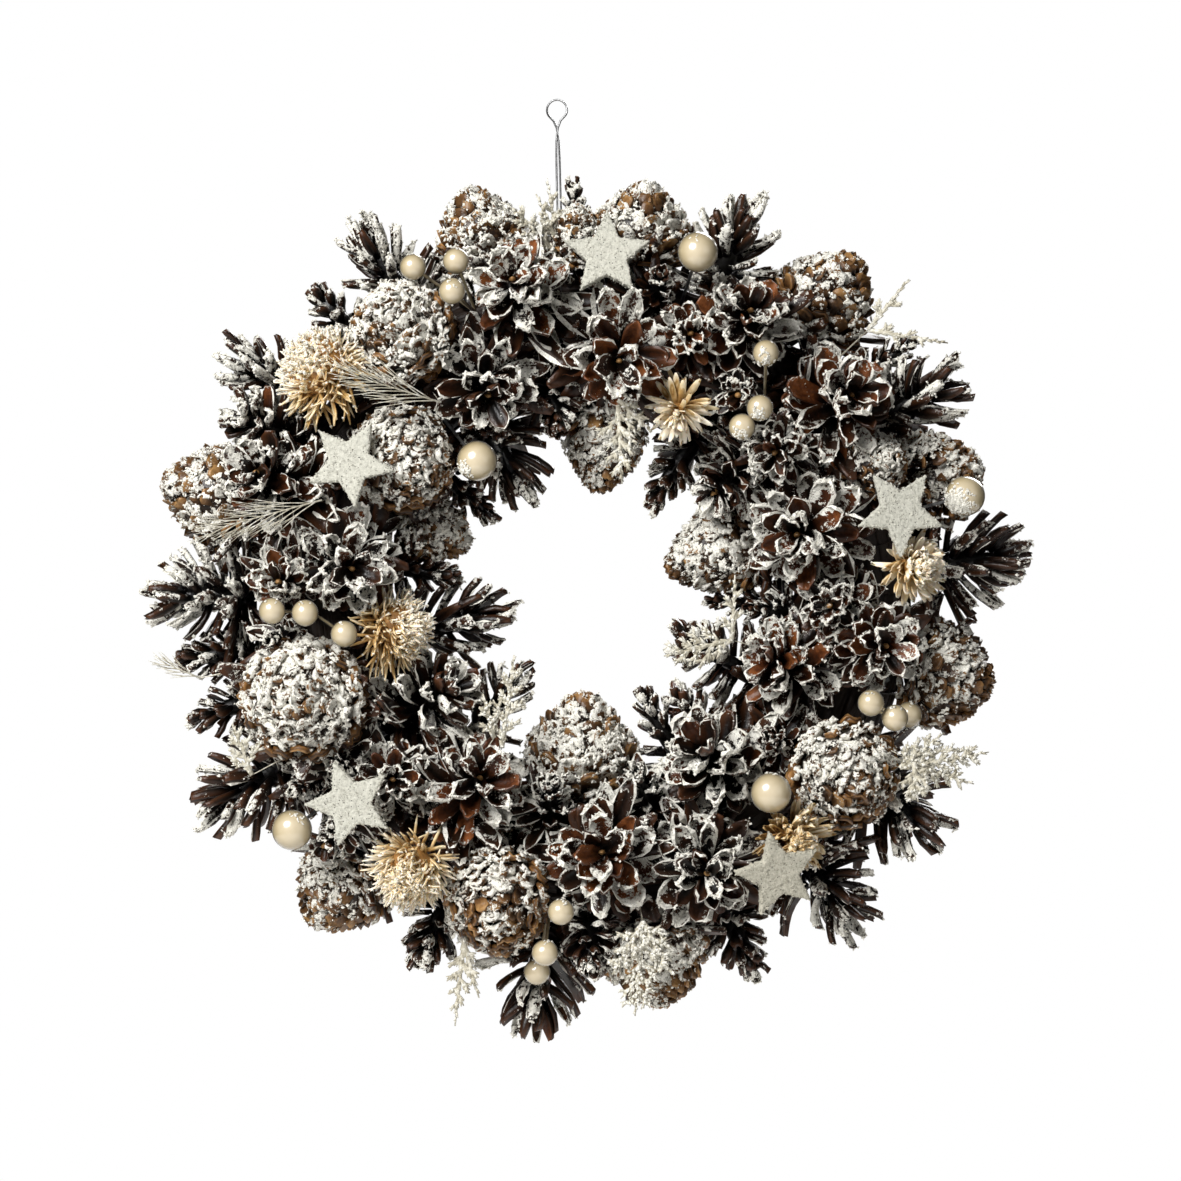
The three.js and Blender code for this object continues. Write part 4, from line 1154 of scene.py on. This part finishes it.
def cutStar(index, turn, lean):
    node = f"star_{index + 1}"
    bm = bmesh.new()
    bmesh.ops.create_circle(bm, cap_ends=True, segments=10, radius=1)
    for i, v in enumerate(bm.verts):
        reach = starCut["waist"] if i % 2 else starCut["radius"]
        v.co = (reach * math.sin(i * math.pi / 5), reach * math.cos(i * math.pi / 5), -starCut["thick"] / 2)
    out = bmesh.ops.extrude_face_region(bm, geom=bm.faces[:])
    raised = [v for v in out["geom"] if isinstance(v, bmesh.types.BMVert)]
    bmesh.ops.translate(bm, verts=raised, vec=(0, 0, starCut["thick"]))
    bmesh.ops.recalc_face_normals(bm, faces=bm.faces)
    bmesh.ops.bevel(
        bm, geom=bm.edges[:], offset=starCut["round"], affect="EDGES", segments=2, profile=0.5, material=-1,
    )
    bmesh.ops.triangulate(bm, faces=bm.faces[:])
    for _ in range(3):
        long = [e for e in bm.edges if e.calc_length() > starCut["mesh"]]
        bmesh.ops.subdivide_edges(bm, edges=long, cuts=1)
        bmesh.ops.triangulate(bm, faces=[f for f in bm.faces if len(f.verts) > 3])
    for v in bm.verts:
        v.co += v.normal * starCut["dent"] * noise.noise(v.co * 0.9 + Vector((index * 9, 0, 0)))
    smoothed(bm)
    low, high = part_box(node)
    spin = Matrix.Rotation(math.radians(turn), 4, "Z")
    right, up = [math.radians(v) for v in lean]
    facing = Matrix.Rotation(right, 4, "Z") @ Matrix.Rotation(math.pi / 2 - up, 4, "X")
    bmesh.ops.transform(bm, verts=bm.verts, matrix=facing @ spin)
    box = [(min(v.co[k] for v in bm.verts) + max(v.co[k] for v in bm.verts)) / 2 for k in range(3)]
    centre = toPart.inverted() @ ((low + high) / 2)
    bmesh.ops.translate(bm, verts=bm.verts, vec=centre - Vector(box))
    bare = sorted((v.co.copy() for v in bm.verts), key=tuple)  # bevel's own order is not steady
    for _ in range(starCut["grains"]):
        dropSnow(bm, random.choice(bare), random.triangular(*starCut["grain"]))
    coat = roughStar if index in starCut["rough"] else paleStar
    finished(node, bm, [coat, coat, coat])


for i, (turn, lean) in enumerate(starCut["lies"]):
    cutStar(i, turn, lean)
print("stars cut")


# Sprigs: cypress with knobbly scale leaves, and fine smooth straw. Frost is how many grains of snow
# a leaf has, and each spray is its root and tip (pixel and depth), its pairs of shoots and their reach.
sprigs = {
    "cypress_top": (0.2, [
        ((560, 258, -40), (547, 178, -44), 3, 9), ((556, 252, -42), (508, 205, -52), 3, 11),
        ((557, 240, -43), (536, 194, -45), 2, 6),
    ]),
    "cypress_one": (0.2, [
        ((868, 330, -58), (909, 279, -62), 1, 8), ((868, 330, -58), (948, 343, -56), 2, 7),
    ]),
    "cypress_twelve_inner": (0.15, [
        ((618, 405, -70), (622, 484, -66), 4, 13), ((618, 400, -70), (652, 432, -68), 2, 8),
    ]),
    "straw_ten": (0.1, [((440, 402, -82), (338, 371, -84), 8, 24)]),
    "straw_nine": (0.1, [((322, 500, -80), (196, 534, -66), 8, 26)]),
    "straw_nine_outer": (0.1, [((200, 678, -48), (154, 659, -46), 4, 12)]),
    "cypress_eight": (0.5, [((252, 775, -72), (232, 724, -62), 3, 12)]),
    "cypress_eight_inner": (0.8, [
        ((502, 748, -66), (514, 655, -60), 4, 12), ((494, 738, -66), (483, 694, -64), 2, 7),
    ]),
    "cypress_seven_outer": (0.1, [
        ((464, 940, -60), (455, 1026, -56), 4, 9), ((464, 945, -60), (479, 998, -58), 2, 6),
    ]),
    "cypress_six_outer": (2.2, [
        ((643, 925, -74), (635, 1016, -66), 5, 17), ((643, 922, -76), (672, 975, -72), 3, 10),
        ((643, 922, -76), (612, 975, -72), 3, 10),
    ]),
    "cypress_four_outer": (0.4, [
        ((900, 768, -78), (989, 752, -58), 6, 14), ((908, 764, -76), (974, 784, -60), 4, 11),
        ((914, 762, -80), (918, 802, -76), 3, 11), ((900, 768, -78), (944, 733, -66), 3, 10),
    ]),
    "cypress_four_inner": (0.4, [
        ((732, 640, -66), (664, 656, -58), 4, 14), ((732, 640, -66), (735, 575, -68), 2, 8),
    ]),
}
# Spread is a shoot's angle at the root and how much less it is at the tip, and fork is the angle of
# the forks on a shoot and their length, as a share of its own
shoots = {
    "cypress": {"width": 2.5, "spread": (0.85, 0.25), "fork": (0.6, 0.4)},
    "straw": {"width": 1.0, "spread": (0.34, 0.12), "fork": (0.14, 0.7)},
}
leaves = {"step": 1.9, "length": (2.6, 3.6), "width": 2.0, "thick": 1.3, "splay": 0.42, "grain": (0.7, 1.7)}


def leafMaster():
    # One scale leaf or a short length of stalk, from y 0 to 1
    bm = bmesh.new()
    bmesh.ops.create_cone(bm, cap_ends=True, segments=5, radius1=0.5, radius2=0.16, depth=1)
    bmesh.ops.rotate(bm, verts=bm.verts, matrix=Matrix.Rotation(-math.pi / 2, 3, "X"))
    bmesh.ops.translate(bm, verts=bm.verts, vec=(0, 0.5, 0))
    return keepMaster("leaf", bm, lambda co: (0, 0.5, co.y, 1), 0, smooth=True)


leaf = leafMaster()


def twigAlong(bm, start, end, width, frost):
    # A shoot from start to end, with leaves along it. Straw has no frost and no leaves.
    along = (end - start).normalized()
    side = along.cross(front).normalized()
    length = (end - start).length
    stamp(bm, leaf, placed(start, along, front, length, width * 0.8, width * 0.6))
    if frost is None:
        return
    step, splay = leaves["step"], leaves["splay"]
    for k in range(int(length / step)):
        point = start.lerp(end, k * step / length)
        taper = 1 - 0.4 * k * step / length
        way = (along + side * (splay if k % 2 else -splay) + front * random.uniform(-0.1, 0.2)).normalized()
        size = (random.uniform(*leaves["length"]) * taper, leaves["width"] * taper, leaves["thick"] * taper)
        stamp(bm, leaf, placed(point, way, front, *size))
        for _ in range(int(frost + random.random())):
            spot = point + front * 0.7 + way * random.uniform(0, 2)
            dropSnow(bm, spot, random.uniform(*leaves["grain"]))


def growSpray(bm, root, tip, pairs, reach, frost, look):
    # A stalk from the straw, the main shoot, and pairs of forked shoots on it
    start, end = seenAt(root, root[2]), seenAt(tip, tip[2])
    along = (end - start).normalized()
    stalk = start - centreLine(start)
    below = start.lerp(centreLine(start), 0.6)
    stamp(bm, leaf, placed(below, stalk.normalized(), front, stalk.length * 0.6, 1.6, 1.6))
    twigAlong(bm, start, end, look["width"], frost)
    for step in range(pairs):
        for hand in (-1, 1):
            share = (step + (0.9 if hand > 0 else 0.5)) / (pairs + 0.6)
            begin = start.lerp(end, share * 0.85)
            spread = hand * (look["spread"][0] - look["spread"][1] * share) * random.uniform(0.8, 1.15)
            way = Matrix.Rotation(spread, 3, "Y") @ along
            length = reach * (1 - 0.5 * share) * random.uniform(0.8, 1.1)
            finish = begin + way * length + Vector((0, 1 - 2 * (step % 2), 0))
            twigAlong(bm, begin, finish, look["width"] * 0.75, frost)
            for part, turn in ((0.35, -1), (0.55, 1)):
                fork = Matrix.Rotation(turn * look["fork"][0], 3, "Y") @ way
                node = begin.lerp(finish, part)
                twigAlong(bm, node, node + fork * length * look["fork"][1], look["width"] * 0.6, frost)


for name, (frost, shown) in sprigs.items():
    bm = bmesh.new()
    kind = name.split("_")[0]
    for reaching in shown:
        growSpray(bm, *reaching, frost if kind == "cypress" else None, shoots[kind])
    finished(name, bm, [twig, twig, snow])
print("sprigs grown")


# Straw ring: a spun body, loose stalks on its skin, and binding string. Each stalk spans an angle
# of the ring in short steps, and sunk is how deep the body and the stalks lie in the skin.
bundle = {
    "steps": 96, "sides": 30, "sunk": (1.2, 1.5), "stalks": 84, "stalkRadius": 1.3, "span": (1.2, 2.6),
    "stalkSteps": 18, "turns": 38, "perTurn": 22, "string": 0.35,
}


def tube(bm, route, radius, sides, closed):
    # A round skin along a list of points, closed on itself or capped
    if closed:
        route = route + route[:1]
    frames = []
    facing = Quaternion()
    for i, point in enumerate(route):
        before = route[i - 1] if i else route[-2 if closed else 0]
        after = route[i + 1] if i + 1 < len(route) else route[1 if closed else i]
        if closed:
            facing = (after - before).to_track_quat("Z", "Y")
        else:
            facing = (facing @ Vector((0, 0, 1))).rotation_difference(after - before) @ facing
        frames.append(Matrix.Translation(point) @ facing.to_matrix().to_4x4())
    made = bmesh.ops.create_grid(bm, x_segments=sides, y_segments=len(route) - 1, size=0.5)
    for v in made["verts"]:
        angle = 2 * math.pi * round((v.co.x + 0.5) * sides) / sides
        place = frames[round((v.co.y + 0.5) * (len(route) - 1))]
        v.co = place @ Vector((radius * math.cos(angle), radius * math.sin(angle), 0))
    bmesh.ops.remove_doubles(bm, verts=made["verts"], dist=0.001)
    if not closed:
        ends = [e for e in bm.edges if e.is_boundary]
        bmesh.ops.holes_fill(bm, edges=ends, sides=sides)


def bindRing():
    bm = bmesh.new()
    bodySunk, stalkSunk = bundle["sunk"]
    section = []
    for k in range(bundle["sides"]):
        angle = 2 * math.pi * k / bundle["sides"]
        section.append(bm.verts.new(onRing(0, angle, ring["straw"] - bodySunk)))
    edges = [bm.edges.new(pair) for pair in zip(section, section[1:] + section[:1])]
    bmesh.ops.spin(bm, geom=section + edges, cent=(0, 0, 0), axis=(0, 1, 0), angle=2 * math.pi,
                   steps=bundle["steps"], use_merge=True)
    bmesh.ops.remove_doubles(bm, verts=bm.verts, dist=0.01)
    for k in range(bundle["stalks"]):
        angle = 2 * math.pi * (k + random.uniform(-0.3, 0.3)) / bundle["stalks"]
        begin = random.uniform(0, fullTurn)
        span = random.uniform(*bundle["span"])
        route = []
        for s in range(bundle["stalkSteps"] + 1):
            drift = 0.05 * math.sin(begin + s * 0.5)
            height = ring["straw"] - stalkSunk - 0.3 * random.random()
            route.append(onRing(begin + span * s / bundle["stalkSteps"], angle + drift, height))
        tube(bm, route, bundle["stalkRadius"], 5, False)
    route = []
    steps = bundle["turns"] * bundle["perTurn"]
    for s in range(steps):
        angle = 2 * math.pi * s / bundle["perTurn"]
        route.append(onRing(2 * math.pi * s / steps, angle, ring["straw"] - 0.1))
    tube(bm, route, bundle["string"], 4, True)
    bmesh.ops.recalc_face_normals(bm, faces=bm.faces)
    smoothed(bm)
    finished("straw_ring", bm, [straw])


bindRing()
print("ring bound")


# Hanging wire: one length of it, sized with the other driving sizes
def bendWire():
    # The route goes up the front strand, round the eye, down the back strand and round the straw
    bm = bmesh.new()
    route = []
    eye = wire["eye"]
    up, down = wireFoot + Vector((-0.8, -2.2, 3)), wireFoot + Vector((0.7, 1.2, 8))
    for s in range(9):
        route.append(up.lerp(wireEye + Vector((-0.6, -1.6, -eye - 0.8)), s / 8))
    for s in range(21):
        angle = 0.45 + (2 * math.pi - 0.9) * s / 20
        route.append(wireEye + Vector((eye * math.sin(angle), -1.5 + 3 * s / 20, -eye * math.cos(angle))))
    for s in range(9):
        route.append(down.lerp(wireEye + Vector((0.7, 1.6, -eye - 0.8)), 1 - s / 8))
    for s in range(31):
        route.append(onRing(wire["lean"], 1.05 - 2 * math.pi * s / 30, ring["straw"] - wire["radius"]))
    for _ in range(2):
        inner = [(a + 2 * b + c) / 4 for a, b, c in zip(route, route[1:], route[2:])]
        route = route[:1] + inner + route[-1:]
    tube(bm, route, wire["radius"], 8, False)
    bmesh.ops.recalc_face_normals(bm, faces=bm.faces)
    smoothed(bm)
    finished("hanger_wire", bm, [steel])


bendWire()
print("wire bent")

# Studio: a pale floor well below, a white surround, soft light from the upper left
studio = {
    "floor": -0.62, "floorRadius": 0.95, "world": 0.012, "aim": (0, -30, 0),
    "lights": {  # place, width and power
        "key": ((-1.0, -1.5, 0.9), 1.3, 80),
        "fill": ((1.4, -1.2, 0.1), 1.2, 2.5),
        "back": ((0.6, 1.5, 0.7), 1.2, 48),
    },
}


def stageFloor():
    bm = bmesh.new()
    bmesh.ops.create_circle(bm, cap_ends=True, segments=96, radius=studio["floorRadius"])
    # Matt board, with clouds so faint that it looks plain
    material, add, dress, place = newMaterial("matt studio floor", {"Roughness": 0.85})
    cloudy = add("TexNoise", {"Vector": place, "Scale": 1000 / 300, "Detail": 2, "Roughness": 0.6})
    dress({"Base Color": add("ValToRGB", {"Fac": cloudy}, [(0.3, "#e9e8e6"), (0.7, "#efeeec")])})
    floor = shaped("floor", bm, Matrix.Translation((0, 0, studio["floor"])), [material])
    floor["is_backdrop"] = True


def softLight(name, place, size, power, target):
    # A round lamp that faces its target
    light = inScene(name, bpy.data.lights.new(name, "AREA"))
    light.location = place
    light.rotation_euler = (target - Vector(place)).to_track_quat("-Z", "Y").to_euler()
    light.data.shape = "DISK"
    light.data.size = size
    light.data.energy = power


def surround():
    # White to the camera, dimmer as light, so that the hollows between cones stay dark
    world = bpy.data.worlds.new("surround")
    world.use_nodes = True
    tree = world.node_tree
    tree.nodes.clear()
    seen = addNode(tree, "LightPath").outputs["Is Camera Ray"]
    strength = addNode(tree, "MapRange", {"Value": seen, "To Min": studio["world"], "To Max": 1.0})
    background = addNode(tree, "Background", {"Color": (1, 1, 1, 1), "Strength": strength})
    addNode(tree, "OutputWorld", {"Surface": background}, is_active_output=True)
    bpy.context.scene.world = world


stageFloor()
for name, lamp in studio["lights"].items():
    softLight(name, *lamp, toPart @ Vector(studio["aim"]))
surround()
bpy.context.scene.view_settings.view_transform = "Standard"
print("studio lit")

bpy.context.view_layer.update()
counts = {}
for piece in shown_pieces():
    if piece.type == "MESH":
        piece.data.calc_loop_triangles()
        counts[piece.name] = len(piece.data.loop_triangles)
print("triangles", sum(counts.values()), "most", max(counts, key=counts.get), max(counts.values()))
